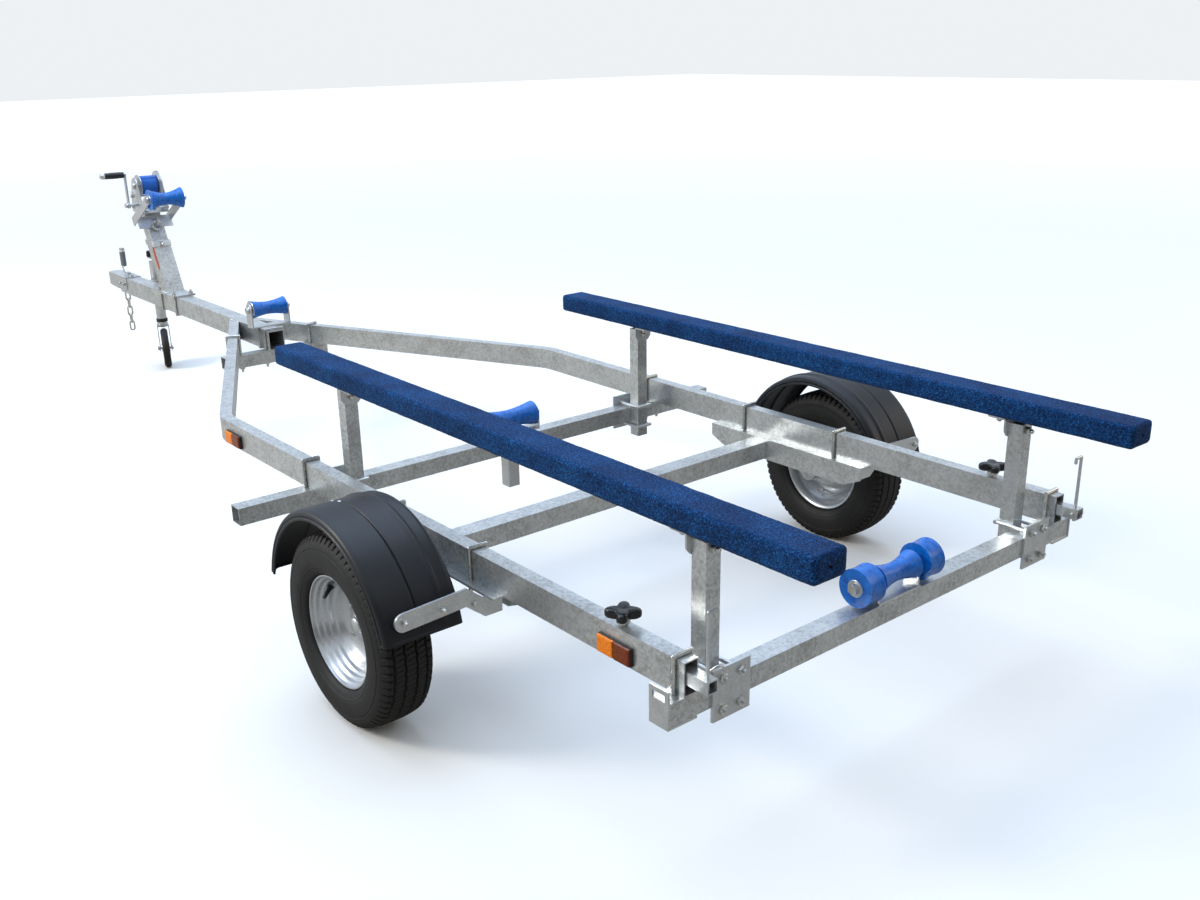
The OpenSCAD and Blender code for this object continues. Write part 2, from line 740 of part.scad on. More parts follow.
module coupling_body() {
  t = 4;
  half = draw_w / 2 + touch;
  low = draw_top - 60;
  color("silver") placed() difference() {
    union() {
      translate([socket_x, 0, low]) cylinder(h = 62, r = 40);
      block([draw_front_x - 105, -half - t, draw_top + touch], [socket_x, half + t, draw_top + touch + t]);
      for (y = [-half - t, half]) {
        translate([0, y + t, 0]) rotate([90, 0, 0]) linear_extrude(t) polygon([
          [draw_front_x - 105, draw_top + touch + t], [draw_front_x - 105, draw_top - 48],
          [draw_front_x - 80, low - 6], [draw_front_x + 20, low - 6], [socket_x, low],
          [socket_x, draw_top + touch + t]]);
      }
      translate([draw_front_x - 85, 0, draw_top + touch + t - 1]) cylinder(h = 9, r = 11);
    }
    translate([socket_x, 0, low - 1]) cylinder(h = 31, r = ball_socket_r);
    translate([socket_x, 0, low + 30]) sphere(r = ball_socket_r);
  }
}

// cranked lever with a round grip
module coupling_handle() {
  x = draw_front_x - 55;
  z = draw_top + 4 + 2 * touch;
  color("silver") placed() {
    translate([0, 9, 0]) rotate([90, 0, 0]) linear_extrude(18) polygon([[x, z], [x + 42, z],
      [x + 68, z + 34], [x + 70, z + 58], [x + 54, z + 58], [x + 50, z + 42], [x + 22, z + 18],
      [x, z + 14]]);
    translate([x + 62, 0, z + 50]) cylinder(h = 84, r = 13);
  }
}

// one welded link, standing in the plane across x
module chain_link(z, turn) {
  r = 4;
  c = 11;
  l = 13;
  translate([0, 0, z]) rotate([0, 0, turn]) rotate([90, 0, 0]) {
    for (s = [-1, 1]) {
      translate([0, s * l, 0]) rotate([0, 0, s * 90 - 90]) rotate_extrude(angle = 180, $fn = 32)
        translate([c, 0]) circle(r = r, $fn = 20);
      translate([s * c, 0, 0]) rotate([90, 0, 0]) translate([0, 0, -l]) cylinder(h = 2 * l, r = r, $fn = 20);
    }
  }
}

module safety_chain() {
  pitch = 2 * (13 + 11) - 8.6;
  bar = draw_top - 56;
  color("silver") placed() translate([draw_front_x + 17, 0, 0]) {
    // bar between the coupling's skirts that the first link hangs on
    rod_y(0, bar, -draw_w / 2, draw_w / 2, 5);
    for (i = [0:5]) {
      chain_link(bar - 14.7 - i * pitch, i % 2 == 0 ? 0 : 90);
    }
  }
}

module jockey_clamp() {
  r = jockey_r + 8;
  z0 = deck_z + 10;
  z1 = draw_top - 8;
  color("silver") placed() difference() {
    union() {
      translate([jockey_x, jockey_y, z0]) cylinder(h = z1 - z0, r = r);
      block([jockey_x - 24, jockey_y, z0], [jockey_x + 24, -draw_w / 2 - 8, z1]);
      block([jockey_x - 62, -draw_w / 2 - 8, z0], [jockey_x + 62, -draw_w / 2 - touch, z1]);
      block([jockey_x - 9, jockey_y - r - 22, z0 + 14], [jockey_x + 9, jockey_y - r + 6, z1 - 14]);
    }
    translate([jockey_x, jockey_y, z0 - 1]) cylinder(h = z1 - z0 + 2, r = jockey_r + jockey_clear);
  }
}

module jockey_tube() {
  color("lightgray") placed() translate([jockey_x, jockey_y, 0]) {
    difference() {
      translate([0, 0, tube_low]) cylinder(h = tube_high - tube_low, r = jockey_r);
      translate([0, 0, tube_low - 1]) cylinder(h = tube_high - tube_low - 3, r = jockey_bore_r);
    }
    // winding handle on the cap
    translate([0, 0, tube_high - 1]) cylinder(h = 16, r = 8);
    block([-8, -8, tube_high + 9], [66, 8, tube_high + 15]);
    translate([58, 0, tube_high + 14]) cylinder(h = 26, r = 10);
  }
}

module jockey_leg() {
  color("lightgray") placed() translate([jockey_x, jockey_y, 0]) {
    translate([0, 0, fork_top + 0.3]) cylinder(h = 6, r = jockey_r + 3);
    translate([0, 0, fork_top + 5]) cylinder(h = 235, r = jockey_bore_r - jockey_clear);
    translate([0, 0, fork_top - 14]) cylinder(h = 20, r = 8);
    translate([0, 0, fork_top - 16]) cylinder(h = 4, r = 12);
  }
}

module jockey_fork() {
  half = 25;
  t = 4;
  color("silver") placed() translate([jockey_x, jockey_y, 0]) rotate([0, 0, jockey_swivel]) difference() {
    union() {
      block([-38, -half - t, fork_top - 8], [26, half + t, fork_top]);
      for (y = [-half - t, half]) {
        translate([0, y + t, 0]) rotate([90, 0, 0]) linear_extrude(t) union() {
          polygon([[-38, fork_top], [-jockey_trail - 17, jockey_wheel_r],
            [-jockey_trail + 17, jockey_wheel_r], [26, fork_top - 14], [26, fork_top]]);
          translate([-jockey_trail, jockey_wheel_r]) circle(r = 17);
        }
      }
      rod_y(-jockey_trail, jockey_wheel_r, -half - t - 8, half + t + 8, 6);
    }
    translate([0, 0, fork_top - 9]) cylinder(h = 10, r = 8.05);
  }
}

module jockey_wheel() {
  r = jockey_wheel_r;
  color("dimgray") placed() translate([jockey_x, jockey_y, 0]) rotate([0, 0, jockey_swivel])
    translate([-jockey_trail, 0, r]) rotate([90, 0, 0])
    rotate_extrude() polygon([[6.05, -19], [20, -19], [22, -7], [62, -7], [66, -15], [r - 12, -17.5],
      [r - 3, -12.5], [r, -5], [r, 5], [r - 3, 12.5], [r - 12, 17.5], [66, 15], [62, 7], [22, 7],
      [20, 19], [6.05, 19]]);
}

module side_markers() {
  color("orange") placed() both_sides() {
    for (x = [1120, -722]) {
      block([x - 52, rail_half_width + touch, deck_z + 6], [x + 52, rail_half_width + 15, deck_z + 48]);
    }
  }
}

// folded plates under the ends of the rear beam, with a slot for a lashing strap
module tie_down_plates() {
  x0 = rear_beam_x - 27;
  x1 = rear_beam_x + 27;
  y0 = rear_beam_half + touch;
  color("silver") placed() both_sides() difference() {
    union() {
      block([x0, y0, beam_z - 5 - touch], [x1, y0 + 5, deck_z + 28]);
      block([x0, rail_half_width - 34, beam_z - 5 - touch], [x1, y0 + 5, beam_z - touch]);
    }
    block([rear_beam_x - 18, y0 - 5, deck_z + 4], [rear_beam_x + 18, y0 + 10, deck_z + 18]);
    translate([rear_beam_x, rail_y, 0]) u_bolt_holes(rail_w, beam_z - 8, beam_z + 2);
  }
}

module light_arm_knobs() {
  z = rail_top + 15;
  color("black") placed() both_sides() translate([knob_abs_x, rail_y, 0]) {
    translate([0, 0, arm_z + arm_w + 0.3]) cylinder(h = z - arm_z - arm_w, r = 5);
    translate([0, 0, rail_top + touch]) cylinder(h = 8, r = 9);
    translate([0, 0, z]) cylinder(h = 24, r = 26);
    for (a = [45:90:315]) {
      rotate([0, 0, a]) translate([27, 0, z + 2]) cylinder(h = 20, r = 14);
    }
  }
}

module light_arm(side) {
  color("silver") placed() translate([0, side * rail_y, 0]) {
    difference() {
      block([rear_x, -arm_w / 2, arm_z], [rear_x + arm_len, arm_w / 2, arm_z + arm_w]);
      block([rear_x - 1, -arm_w / 2 + 2.5, arm_z + 2.5],
        [rear_x + arm_len + 1, arm_w / 2 - 2.5, arm_z + arm_w - 2.5]);
    }
    // hooked lashing rod through the end of the arm
    translate([rear_x + 14, 0, arm_z - 8]) cylinder(h = 172, r = 4);
    translate([rear_x + 14, 0, arm_z + 164]) sphere(r = 4);
    translate([rear_x + 14, 0, arm_z + 164]) rotate([90 * side, 0, 0]) cylinder(h = 24, r = 4);
    translate([rear_x + 14, -24 * side, arm_z + 164]) sphere(r = 4);
    translate([rear_x + 14, -24 * side, arm_z + 150]) cylinder(h = 14, r = 4);
  }
}

module light_arm_left() {
  light_arm(1);
}

module light_arm_right() {
  light_arm(-1);
}

// turned about the wheel's axle; the second coordinate points outwards
module wheel_turn(side) {
  placed() translate([0, side * track_half, wheel_z]) rotate([-90 * side, 0, 0]) children();
}

module rim_shape(side) {
  h = rim_w / 2;
  r = rim_r;
  wheel_turn(side) difference() {
    rotate_extrude($fn = 96) polygon([[r - 4, -h], [r, -h], [r, -h + 3], [r - 14, -h + 5],
      [r - 16, -32], [r - 17, -24], [r - 35, -16], [r - 35, 16], [r - 17, 24], [r - 16, 32],
      [r - 14, h - 5], [r, h - 3], [r, h], [r - 4, h], [r - 17, h - 2], [r - 19, 34],
      [r - 20, 27], [r - 38, 18], [r - 44, 12], [r - 50, -2], [72, -19], [30.2, -19],
      [30.2, -23], [73, -23], [r - 47, -7], [r - 38, 2], [r - 38, -18], [r - 20, -27],
      [r - 19, -34], [r - 17, -h + 2]]);
    for (a = [45:90:315]) {
      rotate([0, 0, a]) translate([50, 0, -25]) cylinder(h = 8, r = 6.6);
    }
  }
}

module wheel_rim_left() {
  color("silver") rim_shape(1);
}

module wheel_rim_right() {
  color("silver") rim_shape(-1);
}

module hub_shape(side) {
  wheel_turn(side) difference() {
    union() {
      translate([0, 0, -92]) cylinder(h = 60, r = 36);
      translate([0, 0, -33]) cylinder(h = 9.8, r = 66);
      translate([0, 0, -24]) cylinder(h = 24, r = 29.8);
      for (a = [45:90:315]) {
        rotate([0, 0, a]) translate([50, 0, -24]) cylinder(h = 24, r = 6);
      }
    }
    translate([0, 0, -93]) cylinder(h = 84, r = stub_r + hub_clear);
  }
}

module wheel_hub_left() {
  color("gray") hub_shape(1);
}

module wheel_hub_right() {
  color("gray") hub_shape(-1);
}

module tyre_shape(side) {
  h = tyre_w / 2;
  b = rim_w / 2;
  r = tyre_r;
  i = rim_r;
  wheel_turn(side) rotate_extrude($fn = 128) polygon([[i - 13, b - 6], [i, b - 4.5],
    [i + 2, b + 1], [i + 22, h - 3], [i + 46, h], [r - 28, h - 3], [r - 9, h - 13], [r - 2, h - 26],
    [r, h - 46], [r, -h + 46], [r - 2, -h + 26], [r - 9, -h + 13], [r - 28, -h + 3],
    [i + 46, -h], [i + 22, -h + 3], [i + 2, -b - 1], [i, -b + 4.5], [i - 13, -b + 6],
    [i - 13, -b + 20], [i + 4, -b + 14], [i + 24, -h + 13], [i + 46, -h + 10],
    [r - 30, -h + 14], [r - 14, -h + 30], [r - 14, h - 30], [r - 30, h - 14],
    [i + 46, h - 10], [i + 24, h - 13], [i + 4, b - 14], [i - 13, b - 20]]);
}

module tyre_left() {
  color("black") tyre_shape(1);
}

module tyre_right() {
  color("black") tyre_shape(-1);
}

drawbar();
side_rails();
cross_beams();
axle_beam();
axle_brackets();
suspension_arms();
mudguards();
mudguard_stays();
frame_u_bolts();
bunks();
bunk_posts();
bunk_brackets();
post_clamps();
roller_brackets();
winch_post();
winch_mast();
winch_frame();
bow_roller_arms();
winch_hook();
coupling_body();
coupling_handle();
safety_chain();
jockey_clamp();
jockey_tube();
jockey_leg();
jockey_fork();
jockey_wheel();
side_markers();
tie_down_plates();
light_arm_knobs();
light_arm_left();
light_arm_right();
front_keel_roller();
middle_keel_roller();
rear_keel_roller();
bow_roller();
winch_drum();
winch_strap();
winch_crank();
wheel_rim_left();
wheel_rim_right();
wheel_hub_left();
wheel_hub_right();
tyre_left();
tyre_right();
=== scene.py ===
import math
import bpy
import numpy as np
from mathutils import Matrix, Vector


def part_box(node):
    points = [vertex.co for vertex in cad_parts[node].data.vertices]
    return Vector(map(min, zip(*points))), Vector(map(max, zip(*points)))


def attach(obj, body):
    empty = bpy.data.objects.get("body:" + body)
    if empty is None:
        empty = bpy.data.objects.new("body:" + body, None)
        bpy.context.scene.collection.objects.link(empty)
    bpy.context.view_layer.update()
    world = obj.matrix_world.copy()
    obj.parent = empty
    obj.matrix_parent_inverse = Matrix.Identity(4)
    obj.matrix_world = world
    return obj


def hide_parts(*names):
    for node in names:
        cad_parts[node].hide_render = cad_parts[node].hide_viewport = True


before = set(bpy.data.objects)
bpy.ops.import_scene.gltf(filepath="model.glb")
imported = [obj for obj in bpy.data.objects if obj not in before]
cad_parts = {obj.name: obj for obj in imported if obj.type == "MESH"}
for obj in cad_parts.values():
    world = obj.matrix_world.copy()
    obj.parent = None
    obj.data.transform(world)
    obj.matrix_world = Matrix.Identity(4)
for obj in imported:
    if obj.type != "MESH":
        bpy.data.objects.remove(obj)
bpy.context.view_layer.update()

rng = np.random.default_rng(11)

# the axle is where every length is counted from, in mm; X forward, Y left, Z up
tyreLow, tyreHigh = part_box("tyre_left")
axle = dict(
    x=(tyreLow[0] + tyreHigh[0]) * 500,
    y=(tyreLow[1] + tyreHigh[1]) * 500,
    z=(tyreLow[2] + tyreHigh[2]) * 500,
)


# shapes as whole arrays of points

def metres(points):
    # millimetres from the axle to the model's own metres
    return (np.asarray(points, float) + [axle["x"], 0, 0]) / 1000


def outward(verts, faces):
    # a closed shell whose signed volume is negative is inside out, so its faces are turned round
    total = 0.0
    for f in faces:
        f = np.asarray(f)
        a = verts[f[:, 0]] if f.ndim == 2 else verts[f[0]][None]
        for k in range(1, f.shape[-1] - 1):
            b = verts[f[:, k]] if f.ndim == 2 else verts[f[k]][None]
            c = verts[f[:, k + 1]] if f.ndim == 2 else verts[f[k + 1]][None]
            total += float(np.einsum("ij,ij->i", a, np.cross(b, c)).sum())
    return faces if total >= 0 else [np.asarray(f)[..., ::-1] for f in faces]


def sheetOf(points, closeU=False, closeV=False, caps=False):
    # grid of points (u, v) joined by quads; a closed row or column wraps round, caps fill the ends
    nu, nv = points.shape[:2]
    index = np.arange(nu * nv).reshape(nu, nv)
    if closeU:
        index = np.vstack([index, index[:1]])
    if closeV:
        index = np.hstack([index, index[:, :1]])
    faces = [gridQuads(index)]
    if caps:
        faces += [np.arange(nv)[::-1], np.arange(nv) + (nu - 1) * nv]
    verts = points.reshape(-1, 3)
    return verts, outward(verts, faces)


def roundTurn(count):
    # evenly spaced angles once round
    return np.linspace(0, 2 * np.pi, count, endpoint=False)


def spun(profile, steps=32):
    # profile of (radius, height) carried round Z: x = r cos a, y = r sin a, z = h; ends closed by flat caps
    profile = np.asarray(profile, float)
    a = roundTurn(steps)
    r, h = profile[:, 0][:, None], profile[:, 1][:, None]
    points = np.stack([r * np.cos(a), r * np.sin(a), h + 0 * a], -1)
    return sheetOf(points, closeV=True, caps=True)


def ringSpun(profile, steps=64):
    # closed profile of (radius, height) carried round Z, as a ring has no ends
    profile = np.asarray(profile, float)
    a = roundTurn(steps)
    r, h = profile[:, 0][None], profile[:, 1][None]
    points = np.stack([r * np.cos(a)[:, None], r * np.sin(a)[:, None], h + 0 * a[:, None]], -1)
    return sheetOf(points, closeU=True, closeV=True)


def prism(outline, low, high, bevel=0.6):
    # flat outline (x, y) raised from low to high, its rim drawn in by the bevel along each corner's own normal
    outline = np.asarray(outline, float)
    before, after = np.roll(outline, 1, 0), np.roll(outline, -1, 0)
    e0, e1 = outline - before, after - outline
    n0 = np.stack([e0[:, 1], -e0[:, 0]], 1) / np.linalg.norm(e0, axis=1)[:, None]
    n1 = np.stack([e1[:, 1], -e1[:, 0]], 1) / np.linalg.norm(e1, axis=1)[:, None]
    area = 0.5 * np.sum(before[:, 0] * outline[:, 1] - outline[:, 0] * before[:, 1])
    n = (n0 + n1) * np.sign(area) / np.maximum(1 + np.sum(n0 * n1, 1), 0.4)[:, None]
    rings = [(bevel, low), (bevel * 0.3, low + bevel * 0.3), (0, low + bevel),
             (0, high - bevel), (bevel * 0.3, high - bevel * 0.3), (bevel, high)]
    points = np.stack([np.column_stack([outline - n * b, np.full(len(outline), z)]) for b, z in rings])
    return sheetOf(points, closeV=True, caps=True)


def carried(path, section, up=(0, 0, 1)):
    # section (side, up) carried along a path: each ring stands square to the path's own direction
    path = np.asarray(path, float)
    section = np.asarray(section, float)
    ahead = np.gradient(path, axis=0)
    ahead /= np.linalg.norm(ahead, axis=1)[:, None]
    side = np.cross(ahead, np.asarray(up, float))
    side /= np.linalg.norm(side, axis=1)[:, None]
    over = np.cross(side, ahead)
    if section.ndim == 2:
        section = np.broadcast_to(section, (len(path),) + section.shape)
    points = path[:, None] + section[..., :1] * side[:, None] + section[..., 1:] * over[:, None]
    return sheetOf(points, closeV=True, caps=True)


def placedAt(part, origin, along=(0, 0, 1), turn=0.0):
    # a part made about Z is turned to face along and moved to its origin
    q = Vector((0, 0, 1)).rotation_difference(Vector(along)).to_matrix()
    m = np.array(q @ Matrix.Rotation(turn, 3, "Z"))
    return part[0] @ m.T + np.asarray(origin, float), part[1]


def mirrored(part):
    # the right side's copy: y changes sign, so the faces are turned round
    return part[0] * [1, -1, 1], [np.asarray(f)[..., ::-1] for f in part[1]]


def atBothEnds(part, x, y, z):
    # one copy at each side of the trailer's middle, facing outwards
    return [placedAt(part, (x, s * y, z), (0, s, 0)) for s in (-1, 1)]


def circleOf(radius, count=16, start=0.0):
    a = roundTurn(count) + start
    return np.column_stack([radius * np.cos(a), radius * np.sin(a)])


def roundedBox(w, h, r, per=5):
    # outline of a rectangle with round corners, counterclockwise about its middle
    corners = [(w / 2 - r, h / 2 - r, 0), (r - w / 2, h / 2 - r, 90),
               (r - w / 2, r - h / 2, 180), (w / 2 - r, r - h / 2, 270)]
    out = []
    for x, y, a0 in corners:
        a = np.radians(np.linspace(a0, a0 + 90, per))
        out.append(np.column_stack([x + r * np.cos(a), y + r * np.sin(a)]))
    return np.vstack(out)


def gridQuads(index):
    # quads over a grid of point numbers
    return np.stack([index[:-1, :-1], index[1:, :-1], index[1:, 1:], index[:-1, 1:]], -1).reshape(-1, 4)


def addPiece(name, parts, material, body, smooth=35):
    # one mesh from several parts, in place, riding on its body
    verts, faces, base = [], [], 0
    for v, groups in parts:
        verts.append(v)
        for g in groups:
            g = np.asarray(g) + base
            faces += g.tolist() if g.ndim == 2 else [g.tolist()]
        base += len(v)
    mesh = bpy.data.meshes.new(name)
    mesh.from_pydata(metres(np.vstack(verts)).tolist(), [], faces)
    mesh.validate()
    piece = bpy.data.objects.new(name, mesh)
    bpy.context.scene.collection.objects.link(piece)
    mesh.materials.append(material)
    mesh.polygons.foreach_set("use_smooth", np.ones(len(mesh.polygons), bool))
    mesh.set_sharp_from_angle(angle=math.radians(smooth))
    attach(piece, body)
    return piece


# materials

def toLinear(hexText, alpha=1.0):
    # sRGB hex to the linear values that the shader works in
    c = np.array([int(hexText[i:i + 2], 16) for i in (1, 3, 5)]) / 255
    c = np.where(c <= 0.04045, c / 12.92, ((c + 0.055) / 1.055) ** 2.4)
    return (*[float(v) for v in c], alpha)


def addNode(tree, kind, links=None, **settings):
    # a node with its settings; a setting named after a socket sets that socket, and links join sockets
    n = tree.nodes.new(kind)
    for key, value in settings.items():
        if key.startswith("in_"):
            name = key[3:].replace("_", " ")
            socket = n.inputs[int(name)] if name.isdigit() else n.inputs[name]
            socket.default_value = value
        else:
            setattr(n, key, value)
    for socket, (source, output) in (links or {}).items():
        tree.links.new(source.outputs[output], n.inputs[socket])
    return n


def newMaterial(name, baseHex, **settings):
    m = bpy.data.materials.new(name)
    m.use_nodes = True
    tree = m.node_tree
    shader = next(n for n in tree.nodes if n.type == "BSDF_PRINCIPLED")
    shader.inputs["Base Color"].default_value = toLinear(baseHex)
    for key, value in settings.items():
        shader.inputs[key.replace("_", " ")].default_value = value
    m.diffuse_color = toLinear(baseHex)
    where = addNode(tree, "ShaderNodeTexCoord")
    return m, tree, shader, where


def ramp(tree, source, output, stops, interpolation="LINEAR"):
    n = addNode(tree, "ShaderNodeValToRGB", {"Fac": (source, output)})
    n.color_ramp.interpolation = interpolation
    while len(n.color_ramp.elements) < len(stops):
        n.color_ramp.elements.new(0.5)
    for e, (at, colour) in zip(n.color_ramp.elements, stops):
        e.position = at
        e.color = toLinear(colour) if isinstance(colour, str) else (colour, colour, colour, 1)
    return n


def rampInto(tree, shader, socket, source, output, stops):
    n = ramp(tree, source, output, stops)
    tree.links.new(n.outputs["Color"], shader.inputs[socket])


def noiseOf(tree, where, mm, detail=2.0, roughness=0.5):
    # cloudy noise whose features are about mm millimetres wide
    return addNode(tree, "ShaderNodeTexNoise", {"Vector": (where, "Object")}, in_Scale=1000 / mm,
                   in_Detail=detail, in_Roughness=roughness)


def cellsOf(tree, where, mm, **settings):
    # cells about mm millimetres across
    return addNode(tree, "ShaderNodeTexVoronoi", {"Vector": (where, "Object")}, in_Scale=1000 / mm, **settings)


def blendOf(tree, a, b, share):
    # two numbers mixed, with share of the second; each is a node and the output to take
    return addNode(tree, "ShaderNodeMix", {2: a, 3: b}, data_type="FLOAT", in_Factor=share)


def bumpInto(tree, shader, source, output, strength, distance):
    b = addNode(tree, "ShaderNodeBump", {"Height": (source, output)}, in_Strength=strength, in_Distance=distance)
    tree.links.new(b.outputs["Normal"], shader.inputs["Normal"])


def galvanisedSteel(name, look):
    # mild steel dipped in molten zinc: crystals of 6 to 14 mm that each take the light their own way,
    # dull grey patches where the zinc cooled slowly, and bright runs between them
    m, tree, shader, where = newMaterial(name, look["mid"], Metallic=look["metallic"])
    crystals = cellsOf(tree, where, look["crystalMm"])
    crystalGrey = addNode(tree, "ShaderNodeSeparateColor", {"Color": (crystals, "Color")})
    patches = noiseOf(tree, where, look["patchMm"], 6.0, 0.65)
    specks = noiseOf(tree, where, 5.0, 3.0)
    crystalline = blendOf(tree, (crystalGrey, "Red"), (patches, "Fac"), look["patchShare"])
    speckled = blendOf(tree, (crystalline, 0), (specks, "Fac"), 0.25)
    rampInto(tree, shader, "Base Color", speckled, 0,
             [(0.28, look["dark"]), (0.5, look["mid"]), (0.72, look["light"])])
    rampInto(tree, shader, "Roughness", speckled, 0, [(0.3, look["roughHigh"]), (0.7, look["roughLow"])])
    bumpInto(tree, shader, crystalline, 0, look["bump"], 0.0006)
    return m


dipLook = dict(mid="#C9CCCC", light="#E2E5E6", dark="#A3A5A3", metallic=0.82, crystalMm=7.0, patchMm=90.0,
               patchShare=0.72, roughHigh=0.42, roughLow=0.27, bump=0.04)
hotDipGalvanisedSteel = galvanisedSteel("hotDipGalvanisedSteel", dipLook)
fittingLook = dict(mid="#CFD2D3", light="#E0E3E4", dark="#BCBFC0", metallic=0.88, crystalMm=4.0, patchMm=40.0,
                   patchShare=0.85, roughHigh=0.38, roughLow=0.26, bump=0.02)
zincPlatedSteel = galvanisedSteel("zincPlatedSteel", fittingLook)
boltLook = dict(mid="#D3D4D0", light="#EEEEEA", dark="#B0B0AA", metallic=1.0, crystalMm=3.0, patchMm=18.0,
                patchShare=0.8, roughHigh=0.34, roughLow=0.2, bump=0.02)
zincPlatedBolts = galvanisedSteel("zincPlatedBolts", boltLook)


def needlePunchedCarpet():
    # polyester bunk carpet, needle punched: matt heathered blue, tufts about 3 mm apart over a darker ground
    m, tree, shader, where = newMaterial("needlePunchedCarpet", "#1B4A86", Roughness=0.95, Metallic=0.0,
                                         Sheen_Weight=0.04, Sheen_Roughness=0.5, Specular_IOR_Level=0.12)
    tufts = noiseOf(tree, where, 5.5, 4.0, 0.75)
    fibres = cellsOf(tree, where, 3.2)
    clouds = noiseOf(tree, where, 120.0)
    pile = blendOf(tree, (tufts, "Fac"), (fibres, "Distance"), 0.35)
    heather = blendOf(tree, (pile, 0), (clouds, "Fac"), 0.18)
    rampInto(tree, shader, "Base Color", heather, 0,
             [(0.34, "#03102A"), (0.46, "#08284F"), (0.57, "#12447A"), (0.70, "#2C6AA4")])
    bumpInto(tree, shader, pile, 0, 0.9, 0.003)
    return m


def castPolyurethane():
    # cast polyurethane roller: saturated blue, soft gloss, faint scuffs where keels have run
    m, tree, shader, where = newMaterial("castPolyurethane", "#076AC6", Roughness=0.34, IOR=1.5,
                                         Coat_Weight=0.1, Coat_Roughness=0.2)
    scuffs = noiseOf(tree, where, 14.0, 5.0)
    rampInto(tree, shader, "Base Color", scuffs, "Fac", [(0.35, "#035CB4"), (0.6, "#076FD0"), (0.75, "#1B86E2")])
    rampInto(tree, shader, "Roughness", scuffs, "Fac", [(0.35, 0.24), (0.7, 0.42)])
    bumpInto(tree, shader, scuffs, "Fac", 0.08, 0.0008)
    return m


def mouldedPolyethylene():
    # blow-moulded polyethylene mudguard: slate black, satin, with the mould's fine grain
    m, tree, shader, where = newMaterial("mouldedPolyethylene", "#14171C", Roughness=0.42, IOR=1.46)
    grain = noiseOf(tree, where, 2.5, 3.0)
    haze = noiseOf(tree, where, 140.0, 4.0)
    rampInto(tree, shader, "Base Color", haze, "Fac", [(0.3, "#0C0E12"), (0.55, "#11141A"), (0.75, "#191D25")])
    rampInto(tree, shader, "Roughness", haze, "Fac", [(0.3, 0.36), (0.7, 0.50)])
    bumpInto(tree, shader, grain, "Fac", 0.10, 0.0004)
    return m


def vulcanisedRubber(name, hexText, roughness):
    # carbon-black rubber: matt, a little brown where dust sits
    m, tree, shader, where = newMaterial(name, hexText, Roughness=roughness, IOR=1.52)
    dust = noiseOf(tree, where, 45.0, 6.0, 0.7)
    rampInto(tree, shader, "Base Color", dust, "Fac", [(0.35, "#070707"), (0.55, hexText), (0.75, "#171513")])
    rampInto(tree, shader, "Roughness", dust, "Fac", [(0.3, roughness - 0.1), (0.7, roughness + 0.08)])
    bumpInto(tree, shader, noiseOf(tree, where, 3.0), "Fac", 0.12, 0.0004)
    return m


def silverWheelPaint():
    # sprayed silver enamel over steel: fine metal flake, clear top coat, slight orange peel
    m, tree, shader, where = newMaterial("silverWheelPaint", "#BFC3C8", Roughness=0.33, Metallic=0.8,
                                         Coat_Weight=0.35, Coat_Roughness=0.15)
    flake = noiseOf(tree, where, 1.6, 1.0)
    rampInto(tree, shader, "Base Color", flake, "Fac", [(0.3, "#B4B8BD"), (0.55, "#C5C9CD"), (0.75, "#D8DBDF")])
    bumpInto(tree, shader, noiseOf(tree, where, 6.0, 1.0), "Fac", 0.02, 0.0002)
    return m


def mouldedNylon(name, hexText, roughness):
    # injection-moulded nylon: even colour, fine spark-eroded grain
    m, tree, shader, where = newMaterial(name, hexText, Roughness=roughness, IOR=1.53)
    grain = noiseOf(tree, where, 2.0, 3.0)
    bumpInto(tree, shader, grain, "Fac", 0.15, 0.0003)
    rampInto(tree, shader, "Roughness", grain, "Fac", [(0.3, roughness - 0.05), (0.7, roughness + 0.08)])
    return m


def acrylicLens(name, darkHex, lightHex):
    # injection-moulded acrylic reflector: glossy face over rows of 3 mm prisms that break the light up
    m, tree, shader, where = newMaterial(name, lightHex, Roughness=0.12, IOR=1.49, Coat_Weight=0.15,
                                         Coat_Roughness=0.05, Specular_IOR_Level=0.3)
    prisms = cellsOf(tree, where, 3.0, distance="CHEBYCHEV")
    rampInto(tree, shader, "Base Color", prisms, "Distance", [(0.15, lightHex), (0.55, darkHex)])
    bumpInto(tree, shader, prisms, "Distance", 0.15, 0.0006)
    return m


def wovenWebbing():
    # woven polyester strap: ribs of yarn a few millimetres apart
    m, tree, shader, where = newMaterial("wovenWebbing", "#0C60BE", Roughness=0.75, Sheen_Weight=0.2)
    ribs = addNode(tree, "ShaderNodeTexWave", {"Vector": (where, "Object")}, in_Scale=1000 / 5.0, in_Distortion=0.6,
                   bands_direction="Y")
    rampInto(tree, shader, "Base Color", ribs, "Fac", [(0.2, "#084FA8"), (0.7, "#1272D4")])
    bumpInto(tree, shader, ribs, "Fac", 0.4, 0.0006)
    return m


